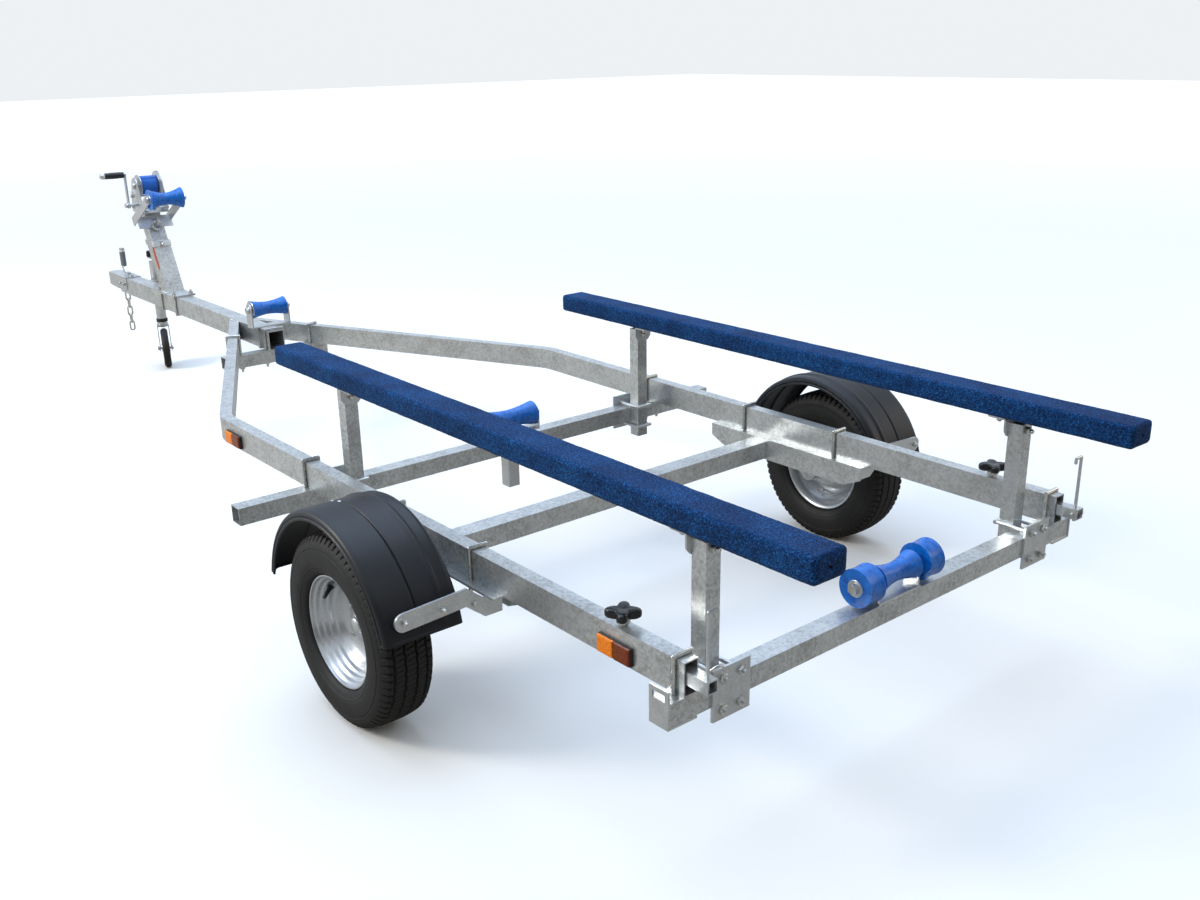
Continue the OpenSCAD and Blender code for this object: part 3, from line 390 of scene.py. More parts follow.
carpet = needlePunchedCarpet()
polyurethane = castPolyurethane()
polyethylene = mouldedPolyethylene()
tyreRubber = vulcanisedRubber("vulcanisedTyreRubber", "#0D0D0C", 0.66)
solidRubber = vulcanisedRubber("solidWheelRubber", "#14110F", 0.62)
wheelPaint = silverWheelPaint()
blackNylon = mouldedNylon("blackNylonKnob", "#08090A", 0.26)
greyGrip = mouldedNylon("greyVinylGrip", "#6E7072", 0.55)
whiteCap = mouldedNylon("whiteNylonCap", "#D9DAD8", 0.4)
blackGrip = mouldedNylon("blackVinylGrip", "#161616", 0.4)
amberLens = acrylicLens("amberAcrylicLens", "#E06C00", "#FF9A0A")
darkAmberLens = acrylicLens("darkAmberReflector", "#5E2402", "#8A3A02")
webbing = wovenWebbing()
redPrimer = mouldedNylon("redOxidePrimer", "#A8492F", 0.7)
blackRubberCap = mouldedNylon("blackRubberCap", "#1A1A1B", 0.6)
print("materials made")


def addFitting(name, parts, body="chassis", material=zincPlatedBolts):
    return addPiece(name, parts, material, body)



# small fittings made about Z, in mm

def hexPart(flats, low, high):
    # hexagon prism whose corners are cut to the washer circle
    corner = flats / math.sqrt(3)
    return prism(circleOf(corner, 6, math.pi / 6), low, high, bevel=0.9)


def washerPart(radius, low, thick):
    high = low + thick
    return spun([(radius - 0.5, low), (radius, low + 0.4), (radius, high - 0.4), (radius - 0.5, high)], 24)


def threadPart(radius, low, high, pitch=1.5):
    # rolled thread drawn as rings: the radius goes up and down once in each pitch
    turns = max(2, int((high - low) / pitch))
    h = np.linspace(low, high, turns * 2 + 1)
    r = radius - 0.5 * (np.arange(len(h)) % 2)
    r[-1] = radius - 1.0
    return spun(np.column_stack([r, h]), 14)


def nutOn(origin, along, rod=5.0, flats=17.0, height=8.0, tail=8.0, washer=True):
    # washer, hexagon nut and the rod's end beyond it
    turn = float(rng.uniform(0, math.pi / 3))
    parts = []
    base = 0.0
    if washer:
        parts.append(washerPart(flats * 0.62, 0.05, 1.8))
        base = 1.85
    parts.append(hexPart(flats, base, base + height))
    if tail > 0:
        parts.append(threadPart(rod, base + height - 1, base + height + tail))
    return [placedAt(p, origin, along, turn) for p in parts]


def boltHead(origin, along, flats=17.0, height=6.5, washer=True):
    return nutOn(origin, along, flats=flats, height=height, tail=0, washer=washer)


def domeHead(origin, along, radius=9.0, height=5.0):
    # coach bolt head: height follows a circle's arc from rim to crown
    t = np.linspace(0, 1, 8)
    profile = np.column_stack([radius * np.cos(t * np.pi / 2) + 0.02, height * np.sin(t * np.pi / 2)])
    return [placedAt(spun(np.vstack([[radius * 0.98, -0.1], profile]), 24), origin, along)]


# the frame: CAD nodes keep their shape and take their finish

finishes = [
    (hotDipGalvanisedSteel, "drawbar side_rails cross_beams axle_beam axle_brackets suspension_arms bunk_posts "
                            "winch_post winch_mast"),
    (zincPlatedSteel, "mudguard_stays bunk_brackets post_clamps roller_brackets winch_frame bow_roller_arms "
                      "coupling_body coupling_handle jockey_clamp jockey_tube jockey_leg jockey_fork "
                      "tie_down_plates light_arm_left light_arm_right winch_drum winch_crank wheel_hub_left "
                      "wheel_hub_right"),
    (zincPlatedBolts, "frame_u_bolts winch_hook safety_chain"),
    (polyurethane, "front_keel_roller middle_keel_roller rear_keel_roller bow_roller"),
    (wheelPaint, "wheel_rim_left wheel_rim_right"), (tyreRubber, "tyre_left tyre_right"),
    (solidRubber, "jockey_wheel"), (amberLens, "side_markers"), (blackNylon, "light_arm_knobs"),
    (webbing, "winch_strap"), (polyethylene, "mudguards"), (carpet, "bunks"),
]
for material, nodeNames in finishes:
    for nodeName in nodeNames.split():
        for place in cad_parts[nodeName].material_slots:
            place.material = material
print("frame finished")


# tyres: one closed surface each, radius and height carried round the wheel

tyreLook = dict(steps=864, shoulderBlocks=72, grooveDepth=6.5, ribSipes=108, width=146.0, radius=243.0, rim=142.0)


def tyrePart(look):
    # profile from the outer bead over the tread to the inner bead and back inside; on the tread the radius
    # drops in straight grooves, in zigzag sipes and between the shoulder blocks
    h, r, i = look["width"] / 2, look["radius"], look["rim"]
    side = [(i + 1.5, h - 18), (i + 4, h - 12), (i + 8, h - 8.5), (i + 16, h - 5), (i + 21, h - 3.2),
            (i + 22, h - 2.2),
            (i + 25, h - 2.2), (i + 26, h - 1.6), (i + 34, h - 0.6), (i + 46, h), (i + 56, h - 0.7),
            (i + 63, h - 1.4),
            (i + 64, h - 2.6), (i + 67, h - 2.8), (i + 68, h - 2.2), (r - 28, h - 3.2), (r - 23, h - 5),
            (r - 17, h - 8), (r - 12, h - 11), (r - 8, h - 14.5)]
    across = np.linspace(h - 17, -(h - 17), 61)
    crown = np.column_stack([r - 5.2 * (np.abs(across) / (h - 17)) ** 2.6, across])
    inner = [(i + 1.5, -(h - 30)), (i + 26, -(h - 20)), (r - 30, -(h - 26)), (r - 24, 0), (r - 30, h - 26),
             (i + 26, h - 20), (i + 1.5, h - 30)]
    side = np.array(side)
    profile = np.vstack([side, crown, side[::-1] * [1, -1], inner])
    a = roundTurn(look["steps"])[:, None]
    rad = np.broadcast_to(profile[:, 0], (len(a), len(profile))).copy()
    y = np.broadcast_to(profile[:, 1], rad.shape)
    outer = (profile[:, 0] > r - 18)[None] & (np.arange(len(profile)) < len(profile) - len(inner))[None]
    flat = np.clip((h - 6 - np.abs(y)) / 6, 0, 1) * outer
    zig = 2.2 * np.abs(((a * 54 / (2 * np.pi)) % 1) * 2 - 1) - 1.1
    groove = np.zeros_like(rad)
    for g, w in ((15, 3.4), (-15, 3.4), (42, 3.6), (-42, 3.6)):
        groove = np.maximum(groove, np.clip(1.5 - np.abs(y - g - zig) / w * 1.6, 0, 1))
    blockTurn = a * look["shoulderBlocks"] / (2 * np.pi) + np.sign(y) * 0.25
    blockGap = np.clip(1.7 - np.abs(((blockTurn % 1) - 0.5)) * 9, 0, 1) * np.clip((np.abs(y) - 45) / 3, 0, 1)
    sipeTurn = a * look["ribSipes"] / (2 * np.pi) + y * 0.02
    sipe = np.clip(1.3 - np.abs((sipeTurn % 1) - 0.5) * 9, 0, 1) * np.clip((40 - np.abs(y)) / 2, 0, 1) * 0.45
    sipe *= np.abs(np.abs(y) - 15) > 5
    depth = np.maximum(np.maximum(groove, blockGap * 0.9), sipe) * look["grooveDepth"]
    rad -= depth * flat
    points = np.stack([rad * np.cos(a), rad * np.sin(a), y], -1)
    return sheetOf(points, closeU=True, closeV=True)


tyreShape = tyrePart(tyreLook)
for side, sign in (("left", 1), ("right", -1)):
    part = placedAt(tyreShape, (0, sign * axle["y"], axle["z"]), (0, sign, 0))
    tyre = addPiece("tyreWithTread_" + side, [part], tyreRubber, "wheel_" + side, smooth=28)
    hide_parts("tyre_" + side)
print("tyres made")


# wheel fittings: nuts, dust cap, valve

wheelLook = dict(studCircle=50.0, discFace=-18.9, nutFlats=18.0, valveRadius=115.0, valveSeat=22.0)


def wheelFittings(look):
    nuts, cap, valve = [], [], []
    for a in np.radians([45, 135, 225, 315]):
        origin = (look["studCircle"] * math.cos(a), look["studCircle"] * math.sin(a), look["discFace"])
        cone = spun([(12.5, 0.1), (12.5, 1.5), (9.4, 4.5), (9.0, 5.0)], 24)
        nuts.append(placedAt(cone, origin))
        nuts.append(placedAt(hexPart(look["nutFlats"], 4.0, 17.0), origin))
        nuts.append(placedAt(threadPart(5.8, 16, 21.5), origin))
    t = np.linspace(0, 1, 9)
    dome = np.column_stack([22 * np.cos(t * np.pi / 2) + 0.02, 9 + 7 * np.sin(t * np.pi / 2)])
    cap.append(spun(np.vstack([[(30.6, -1), (30.6, 1.5), (26, 3.5), (23.5, 4.5), (22.4, 6), (22, 8)], dome]), 40))
    va = math.radians(-42)
    out = np.array([math.cos(va), math.sin(va), 0])
    start = out * look["valveRadius"] + [0, 0, look["valveSeat"]]
    lean = -0.62 * out + np.array([0, 0, 0.78])
    stem = spun([(8.5, -3), (8.5, 0), (6.4, 3), (5.6, 9), (5.0, 24), (4.7, 25), (4.7, 33), (4.2, 34)], 16)
    valve.append(placedAt(stem, start, lean))
    return nuts, cap, valve


def rimPart():
    # rolled lip, four shallow steps down the barrel and a dished centre; then the back of the disc and of the barrel
    front = [(142, 52.6), (142, 55), (141.2, 56.6), (139.4, 57), (137.6, 56.4), (136.6, 54.5), (136.2, 50),
             (134.5, 47.4),
             (130.5, 45.8), (129, 43.5), (128.5, 37), (126.8, 34.6), (122.5, 33), (121, 30.5), (120.5, 24),
             (118.8, 21.6),
             (114.5, 20), (113, 17.5), (112.5, 11), (110.8, 8.6), (106, 6.4), (102, 2), (98, -4), (92, -9.5),
             (82, -14.5),
             (72, -17.6), (60, -18.9), (30.2, -18.9)]
    back = [(30.2, -22.9), (61, -22.9), (74, -21.4), (85, -18), (96, -12.6), (103, -5.5), (108, 0.5), (111, 3.0),
            (113.4, -2), (113.4, -20), (115.5, -23.5), (122.5, -29.5), (126, -38), (128, -48.5), (133, -53),
            (137, -56.6),
            (140, -57), (141.8, -55.6), (142, -53), (136, -51.5), (131, -40), (127, -33), (119, -26), (117.5, -20),
            (117.5, 10), (118, 19), (124.5, 27), (125, 31), (132.5, 40), (133, 44), (138.5, 50.5)]
    return ringSpun(front + back, 180)


for side, sign in (("left", 1), ("right", -1)):
    where = ((0, sign * axle["y"], axle["z"]), (0, sign, 0))
    rim = addPiece("steppedRim_" + side, [placedAt(rimPart(), *where)], wheelPaint, "wheel_" + side,
                   smooth=42)
    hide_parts("wheel_rim_" + side)
    nuts, cap, valve = wheelFittings(wheelLook)
    addFitting("wheelNuts_" + side, [placedAt(p, *where) for p in nuts], "wheel_" + side)
    addFitting("dustCap_" + side, [placedAt(p, *where) for p in cap], "wheel_" + side, zincPlatedSteel)
    addPiece("valve_" + side, [placedAt(p, *where) for p in valve], blackNylon, "wheel_" + side)
print("wheel fittings made")


# mudguards: a wall of even thickness whose section is carried round the wheel

guardLook = dict(centreY=851.0, centreZ=258.0, radius=296.0, width=205.0, wall=4.0, fromDeg=12.0, toDeg=168.0)


def guardPart(look):
    # section across the guard: beaded lip, round shoulder, crown, groove along the middle, raised rib near the
    # inside; the rib and the groove fade out near both ends
    w = look["width"] / 2
    a = np.radians(np.linspace(look["fromDeg"], look["toDeg"], 157))[:, None]
    s = np.linspace(-1, 1, 117)
    y = w * np.sign(s) * (1 - (1 - np.abs(s)) ** 1.15)
    edge = np.clip((np.abs(y) - (w - 16)) / 16, 0, 1)
    drop = 13 * (1 - np.sqrt(np.clip(1 - edge ** 2.2, 0, 1)))
    along = (a - a[0]) / (a[-1] - a[0])
    fade = np.clip(along / 0.09, 0, 1) * np.clip((1 - along) / 0.09, 0, 1)
    fade = fade * fade * (3 - 2 * fade)
    groove = -4.2 * np.exp(-((y - 8) / 1.9) ** 2)
    rib = 4.2 * np.exp(-((y + 56) / 6.5) ** 4)
    r = look["radius"] - 4.2 - drop + (groove + rib) * fade + 0 * a
    innerR = r - look["wall"]
    innerY = y * (1 - look["wall"] / w) + 0 * a
    rim = [(-19, -1.6), (-21.5, -2.0), (-23, 0.2), (-25.5, 1.4), (-28.5, 1.0), (-30, -1.2), (-29.6, -4.0),
           (-26, -5.0)]
    rimR, rimY = np.array(rim).T + [[look["radius"]], [w]]
    rho = np.hstack([r, rimR + 0 * a, innerR[:, ::-1], rimR[::-1] + 0 * a])
    across = np.hstack([y + 0 * a, rimY + 0 * a, innerY[:, ::-1], -rimY[::-1] + 0 * a])
    points = np.stack([rho * np.cos(a), across + look["centreY"], rho * np.sin(a) + look["centreZ"]], -1)
    return sheetOf(points, closeV=True, caps=True)


def guardEnd(look, degrees):
    # half-round bead across each end of the guard, following the section's shoulders
    a = math.radians(degrees)
    y = np.linspace(-1, 1, 31)
    r = look["radius"] - 6.5 - 18 * np.abs(y) ** 14
    across = look["centreY"] + y * (look["width"] / 2 - 2.5)
    path = np.column_stack([r * math.cos(a), across, r * math.sin(a) + look["centreZ"]])
    return carried(path, circleOf(4.0, 12), up=(math.cos(a), 0, math.sin(a)))


guard = guardPart(guardLook)
beads = [guardEnd(guardLook, guardLook["fromDeg"] + 0.9), guardEnd(guardLook, guardLook["toDeg"] - 0.9)]
for side in ("left", "right"):
    parts = [guard] + beads
    if side == "right":
        parts = [mirrored(p) for p in parts]
    piece = addPiece("mudguardShell_" + side, parts, polyethylene, "chassis", smooth=40)
    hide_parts("mudguards")
print("mudguards made")


# bunks: plank wrapped in carpet

bunkLow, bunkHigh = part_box("bunks")
bunkLook = dict(low=bunkLow[2] * 1000, high=bunkHigh[2] * 1000, outerY=bunkHigh[1] * 1000, width=96.0,
                rear=bunkLow[0] * 1000 - axle["x"], front=bunkHigh[0] * 1000 - axle["x"], corner=11.0, pile=1.6)


def bunkPart(look, seed):
    # rounded section carried along X; the pile pushes each point out by smoothed random amounts, and the ends
    # are folded over: the section shrinks by a quarter circle in the last 9 mm
    gen = np.random.default_rng(seed)
    w, h = look["width"] - 2 * look["pile"], look["high"] - look["low"] - look["pile"]
    outline = roundedBox(w, h, look["corner"], 6)
    closed = np.vstack([outline, outline[:1]])
    length = np.concatenate([[0], np.cumsum(np.linalg.norm(np.diff(closed, axis=0), axis=1))])
    t = np.linspace(0, length[-1], 77)[:-1]
    section = np.column_stack([np.interp(t, length, closed[:, 0]), np.interp(t, length, closed[:, 1])])
    ahead = np.roll(section, -1, 0) - np.roll(section, 1, 0)
    normal = np.column_stack([ahead[:, 1], -ahead[:, 0]]) / np.linalg.norm(ahead, axis=1)[:, None]
    count = 520
    x = np.linspace(look["rear"] + look["pile"], look["front"] - look["pile"], count)
    noise = gen.normal(size=(count, len(section)))
    soft = noise.copy()
    for shift in (1, 2, 4):
        soft = (soft + np.roll(soft, shift, 0) + np.roll(soft, -shift, 0) + np.roll(soft, shift, 1)
                + np.roll(soft, -shift, 1)) / 3
    soft = soft / np.abs(soft).max()
    push = look["pile"] * np.clip(0.55 * soft + 0.22 * noise / 3, -1, 1)
    fromEnd = np.minimum(x - x[0], x[-1] - x)
    fold = 9 - np.sqrt(np.clip(81 - np.clip(9 - fromEnd, 0, 9) ** 2, 0, None))
    middle = np.array([look["outerY"] - look["width"] / 2, look["low"] + h / 2 + look["pile"] * 0.3])
    yz = middle + section[None] + normal[None] * (push[..., None] - fold[:, None, None])
    points = np.concatenate([np.broadcast_to(x[:, None, None], (count, len(section), 1)), yz], -1)
    # the two end faces close towards their own middles
    ends = []
    for k, way in ((0, -1), (count - 1, 1)):
        rings = []
        for f in (0.8, 0.55, 0.3, 0.1):
            ring = points[k].copy()
            ring[:, 1:] = middle + (ring[:, 1:] - middle) * f
            ring[:, 0] += way * 0.6 * gen.uniform(0, 1, len(ring))
            rings.append(ring)
        ends.append(np.stack(rings))
    points = np.concatenate([ends[0][::-1], points, ends[1]])
    return sheetOf(points, closeV=True, caps=True)


for side, seed in (("left", 3), ("right", 5)):
    part = bunkPart(bunkLook, seed)
    if side == "right":
        part = mirrored(part)
    bunk = addPiece("carpetedBunk_" + side, [part], carpet, "chassis", smooth=180)
    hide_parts("bunks")
print("bunks made")


# nuts and bolts over the frame

# where the CAD's rods and pins end, in mm from the axle
frameLook = dict(railY=649.0, railWidth=38.0, beamLow=320.0, flangeLow=364.0, midBeam=638.0, rearBeam=-895.0,
                 frontBeam=2255.0, splay=24.7, drawHalf=35.0, plateTop=458.0, winchFoot=3335.0, bunkY=544.0,
                 frontPost=585.0, rearPost=-850.0, bendX=1190.0, bendY=488.0, bendRadius=180.0, boltOut=5.2,
                 frontBolt=168.0, backBolt=-200.0, postPlate=76.3, postFace=20.2, boltGap=25.2, pivotZ=630.0)


def bothSides(parts):
    return parts + [mirrored(p) for p in parts]


def frameNuts(look):
    leg = look["railWidth"] / 2 + look["boltOut"]
    down, parts = (0, 0, -1), []
    for x, z in ((look["frontBolt"], look["flangeLow"]), (look["backBolt"], look["flangeLow"]),
                 (look["midBeam"], look["beamLow"]), (look["rearBeam"], look["beamLow"])):
        for s in (-1, 1):
            parts += nutOn((x, look["railY"] + s * leg, z - (5.3 if x == look["rearBeam"] else 0.05)), down, tail=0)
    # the front beam's bolts stand square to the splayed rail, whose middle line leaves the bend at this y
    a = math.radians(look["splay"])
    middleRadius = look["bendRadius"] - look["railWidth"] / 2
    y = look["bendY"] + middleRadius / math.cos(a) - (look["frontBeam"] - look["bendX"]) * math.tan(a)
    for s in (-1, 1):
        parts += nutOn((look["frontBeam"] + s * leg * math.sin(a), y + s * leg * math.cos(a), look["beamLow"] - 0.05),
                       down, tail=0)
    drawOut = look["drawHalf"] + look["boltOut"]
    parts += nutOn((look["frontBeam"], drawOut, look["beamLow"] - 0.05), down, tail=0)
    for x in (look["winchFoot"] - 112, look["winchFoot"] + 64):
        parts += nutOn((x, drawOut, look["plateTop"] + 0.05), (0, 0, 1), tail=0)
    # clamps of the bunk posts: four long bolts through each plate
    for plate, way in ((look["frontPost"] + look["postPlate"], 1), (look["rearPost"] - look["postPlate"], -1)):
        for z in (310, 380):
            for s in (-1, 1):
                parts += nutOn((plate, look["bunkY"] + s * look["boltGap"], z), (way, 0, 0), flats=20.0, height=8.4,
                               tail=0, washer=False)
    # pivot bolts of the bunk brackets, along the trailer, and the bolts that hold each plank
    for x, way in ((look["frontPost"], -1), (look["rearPost"], 1)):
        back = x - look["postFace"] - look["boltOut"] * (way < 0)
        front = x + look["postFace"] + look["boltOut"] * (way > 0)
        parts += nutOn((back, look["bunkY"], look["pivotZ"]), (-1, 0, 0), rod=5.8, flats=18.0, tail=7)
        parts += boltHead((front, look["bunkY"], look["pivotZ"]), (1, 0, 0), flats=18.0)
        for dy in (-18, 18):
            parts += nutOn((x + way * 48, look["bunkY"] + dy, 652.7), down, flats=13.0, height=5.5, tail=3)
    return bothSides(parts)


addFitting("frameNuts", frameNuts(frameLook))

bracketLook = dict(thick=5.0, half=33.0, taper=13.0, drop=48.0, leg=52.0, top=657.8)


def bunkBracket(look, x, way):
    # angle bracket folded from flat bar: one leg under the plank, the other hanging down the post's face with its
    # lower corners cut off; both legs are one L outline, carried across, and narrowed towards the foot
    t, low = look["thick"], look["top"] - look["drop"]
    face = x + way * (frameLook["postFace"] + t / 2)
    legZ = np.array([low, low + 2, low + look["taper"], low + look["taper"] + 8, look["top"] - t - 3])
    halves = np.array([look["half"] - 12, look["half"] - 10, look["half"] - 1, look["half"], look["half"]])
    bendA = np.radians(np.linspace(0, 90, 7))
    r = 2 + t / 2
    bendX = face + way * (r - r * np.cos(bendA))
    bendZ = look["top"] - t / 2 - r + r * np.sin(bendA)
    legTop = look["top"] - t / 2
    line = np.vstack([np.column_stack([np.full(len(legZ) - 1, face), legZ[:-1]]), np.column_stack([bendX, bendZ]),
                      [[face + way * (look["leg"] - 8), legTop], [face + way * look["leg"], legTop]]])
    half = np.concatenate([halves[:-1], np.full(len(bendX), look["half"]), [look["half"], look["half"] - 4]])
    path = np.insert(line, 1, 0.0, axis=1)
    base = np.array([(-1, -t / 2), (1, -t / 2), (1, t / 2), (-1, t / 2)])
    section = np.stack([base[None, :, 0] * half[:, None], np.broadcast_to(base[:, 1], (len(half), 4))], -1)
    verts, faces = carried(path, section, up=(way * 1.0, 0.0, -1.0))
    return verts + [0, frameLook["bunkY"], 0], faces


brackets = [bunkBracket(bracketLook, frameLook["frontPost"], -1), bunkBracket(bracketLook, frameLook["rearPost"], 1)]
bracketPiece = addFitting("bunkBrackets", bothSides(brackets), "chassis", zincPlatedSteel)
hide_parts("bunk_brackets")


def postPlugs(look):
    # flush steel discs in the holes across each post's top
    disc = [(6.2, -2.0), (6.2, 0.05), (5.9, 0.12)]
    return bothSides([placedAt(spun(disc, 24), (x, look["bunkY"] + s * 20.0, 624), (0, s, 0))
                      for x in (look["frontPost"], look["rearPost"]) for s in (-1, 1)])


addPiece("postPlugs", postPlugs(frameLook), hotDipGalvanisedSteel, "chassis")


stayLook = dict(face=288.35, boltY=(904, 806), boltZ=370.0, innerY=722.0, innerZ=357.0, topX=(96, 58), topY=859.0,
                wheelZ=258.0, topRadius=289.4)


def stayBolts(look):
    # two bolts through each stay, domed heads inside the guard and nuts outside; the bolts on top stand along the
    # radius of the guard, at the height a circle about the wheel has there
    parts = []
    for way in (-1, 1):
        face = way * look["face"]
        for y in look["boltY"]:
            parts += nutOn((face, y, look["boltZ"]), (way, 0, 0), flats=13.0, height=6.0, tail=6)
        parts += boltHead((face, look["innerY"], look["innerZ"]), (way, 0, 0), flats=13.0, height=5.5)
    for x in look["topX"]:
        rise = math.sqrt(look["topRadius"] ** 2 - x * x)
        parts += domeHead((x, look["topY"], look["wheelZ"] + rise), (x, 0, rise), radius=6.5, height=3.5)
    return bothSides(parts)


addFitting("stayBolts", stayBolts(stayLook))


def middleOf(node):
    # centre of a CAD node's box, in mm from the axle
    low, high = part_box(node)
    return tuple(float(low[k] + high[k]) * 500 - (axle["x"] if k == 0 else 0) for k in range(3))


bowX, _, bowZ = middleOf("bow_roller")
drumX, _, drumZ = middleOf("winch_strap")


# each pin's x, height and half length
pinLook = dict(front=(2285, 538, 83.1), middle=(585, 446, 103.1), rear=(-895, 422, 132.6), bow=(bowX, bowZ, 85.1))


def rollerPins(look):
    # washers and nuts on the ends of the roller pins that the CAD leaves plain
    parts = []
    for x, z, y in look.values():
        for s in (-1, 1):
            parts += nutOn((x, s * y, z), (0, s, 0), rod=7.6, flats=24.0, height=9.0, tail=0)
    return parts


addFitting("rollerPinNuts", rollerPins(pinLook))


def endCapsOf(x, z, y, radius):
    # pressed steel cups let into both ends of a roller: shallow dish round the pin
    profile = [(8.6, 0.2), (8.6, 2.4), (radius - 5, 1.4), (radius - 1.5, 2.2), (radius, 1.2), (radius, 0.2)]
    return atBothEnds(ringSpun(profile, 48), x, y, z)


addFitting("frontRollerCaps", endCapsOf(2285, 538, 73, 35), "front_roller_body", zincPlatedSteel)
addFitting("bowRollerCaps", endCapsOf(bowX, bowZ, 75, 24), "bow_roller_body", zincPlatedSteel)
addFitting("rearRollerCaps", endCapsOf(-895, 422, 131.9, 20), "rear_roller_body", zincPlatedSteel)
print("bolts made")


# side markers: black housing with a two-part lens

markerLook = dict(face=668.2, width=104.0, height=42.0, z=397.0, rearX=-722.0, frontX=1120.0)


def markerParts(look, x):
    # housing is a shallow tray; each lens is a pillow whose face bulges as the product of two arcs
    base = prism(roundedBox(look["width"], look["height"], 3), 0, 6.0, 0.8)
    lenses = []
    for low, high in ((-50, -0.6), (0.6, 50)):
        u = np.linspace(-1, 1, 25)[:, None]
        v = np.linspace(-1, 1, 17)[None]
        px = (low + high) / 2 + (high - low) / 2 * np.sign(u) * (1 - (1 - np.abs(u)) ** 1.4) + 0 * v
        py = 19.4 * np.sign(v) * (1 - (1 - np.abs(v)) ** 1.4) + 0 * u
        rise = 6.5 + 5.6 * ((1 - np.abs(u) ** 8) * (1 - np.abs(v) ** 8)) ** 0.4
        top = np.stack([px, py, rise], -1)
        bottom = np.stack([px, py, np.full_like(px, 4.0)], -1)
        # top and bottom grids joined along their rims
        n, m = px.shape
        ti = np.arange(n * m).reshape(n, m)
        bi = ti + n * m
        rim = np.concatenate([ti[0, :-1], ti[:-1, -1], ti[-1, :0:-1], ti[:0:-1, 0]])
        rimB = rim + n * m
        wall = np.stack([rim, rimB, np.roll(rimB, -1), np.roll(rim, -1)], 1)
        verts = np.vstack([top.reshape(-1, 3), bottom.reshape(-1, 3)])
        lenses.append((verts, outward(verts, [gridQuads(ti), gridQuads(bi.T), wall[:, ::-1]])))

    def onRail(part):
        # local x runs forward, local y up, local z out of the rail
        v = part[0]
        world = np.column_stack([x + v[:, 0], look["face"] + v[:, 2], look["z"] + v[:, 1]])
        return world, [np.asarray(f)[..., ::-1] for f in part[1]]

    return onRail(base), [onRail(p) for p in lenses]


housings, brightLenses, darkLenses = [], [], []
for x in (markerLook["rearX"], markerLook["frontX"]):
    housing, lenses = markerParts(markerLook, x)
    housings.append(housing)
    darkLenses.append(lenses[0])
    brightLenses.append(lenses[1])
marker = addPiece("markerHousings", bothSides(housings), blackRubberCap, "chassis")
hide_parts("side_markers")
addPiece("markerLensBright", bothSides(brightLenses), amberLens, "chassis")
addPiece("markerLensDark", bothSides(darkLenses), darkAmberLens, "chassis")
print("markers made")


# winch: toothed wheels, wound strap, crank grip

winchLook = dict(crankBack=12.0, mesh=85.6, gearTeeth=61, pinionTeeth=24, gearRadius=61.0, pinionRadius=24.0,
                 crankLength=140.0)


def toothedRing(radius, teeth, low, high, bore, phase=0.0, depth=3.4):
    # rim radius follows a rounded square wave round the wheel
    count = teeth * 8
    a = roundTurn(count)
    wave = np.tanh(2.2 * np.sin(a * teeth + phase)) / np.tanh(2.2)
    r = radius - 0.2 + depth / 2 * wave - depth / 2
    outer = np.column_stack([r * np.cos(a), r * np.sin(a)])
    inner = circleOf(bore, count)
    rings = [np.column_stack([outer, np.full(count, low)]), np.column_stack([outer, np.full(count, high)]),
             np.column_stack([inner, np.full(count, high)]), np.column_stack([inner, np.full(count, low)])]
    return sheetOf(np.stack(rings), closeU=True, closeV=True)


def alongY(part, x, y, z):
    return placedAt(part, (x, y, z), (0, 1, 0))


crankX = drumX - winchLook["crankBack"]
crankZ = drumZ - math.sqrt(winchLook["mesh"] ** 2 - winchLook["crankBack"] ** 2)
gearRing = toothedRing(winchLook["gearRadius"] + 2.6, winchLook["gearTeeth"], -51.4, -43.6, 30)
pinionRing = toothedRing(winchLook["pinionRadius"] + 2.2, winchLook["pinionTeeth"], -52.2, -44.6, 9, phase=math.pi)
addFitting("winchGear", [alongY(gearRing, drumX, 0, drumZ)], "drum_body", zincPlatedSteel)
addFitting("winchPinion", [alongY(pinionRing, crankX, 0, crankZ)], "crank_body", zincPlatedSteel)


def woundStrap():
    # webbing wound in a spiral: the radius grows by one thickness each turn, and the turns wander a little sideways
    turns, thick, inner = 9, 2.4, 21.0
    a = np.linspace(0, 2 * np.pi * turns, 72 * turns)
    r = inner + thick * a / (2 * np.pi)
    path = np.column_stack([drumX + r * np.cos(a + 2.2), np.zeros_like(a), drumZ + r * np.sin(a + 2.2)])
    path[:, 1] = 1.6 * np.sin(a * 0.37) + 0.8 * np.sin(a * 1.13)
    return carried(path, roundedBox(2.1, 74, 0.9, 3), up=(0, 1, 0))


strap = addPiece("woundStrap", [woundStrap()], webbing, "drum_body", smooth=50)
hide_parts("winch_strap")

gripLook = dict(low=111.0, high=213.0, radius=13.4, capFrom=196.0)


def sleeveOf(radii, heights, inner):
    # sleeve with flat ends, its radius given at each height
    ends = [(inner, heights[0] - 0.4)], [(inner, heights[-1] + 0.4)]
    return spun(np.vstack([ends[0], np.column_stack([radii, heights]), ends[1]]), 28)


def capOver(radius, low, high, power):
    # rounded cap: the radius follows a superellipse from foot to crown
    t = np.linspace(0, 1, 10)
    profile = np.column_stack([radius * np.sqrt(np.clip(1 - t ** power, 0, 1)) + 0.02, low + (high - low) * t])
    return spun(np.vstack([[(9, low)], profile]), 28)


def crankGrip(look):
    # radius swells in the middle and is ringed by shallow finger grooves
    y = np.linspace(look["low"], look["capFrom"], 60)
    t = (y - y[0]) / (y[-1] - y[0])
    return sleeveOf(look["radius"] + 1.0 * np.sin(t * np.pi) + 0.35 * np.cos(t * np.pi * 14), y, 9)


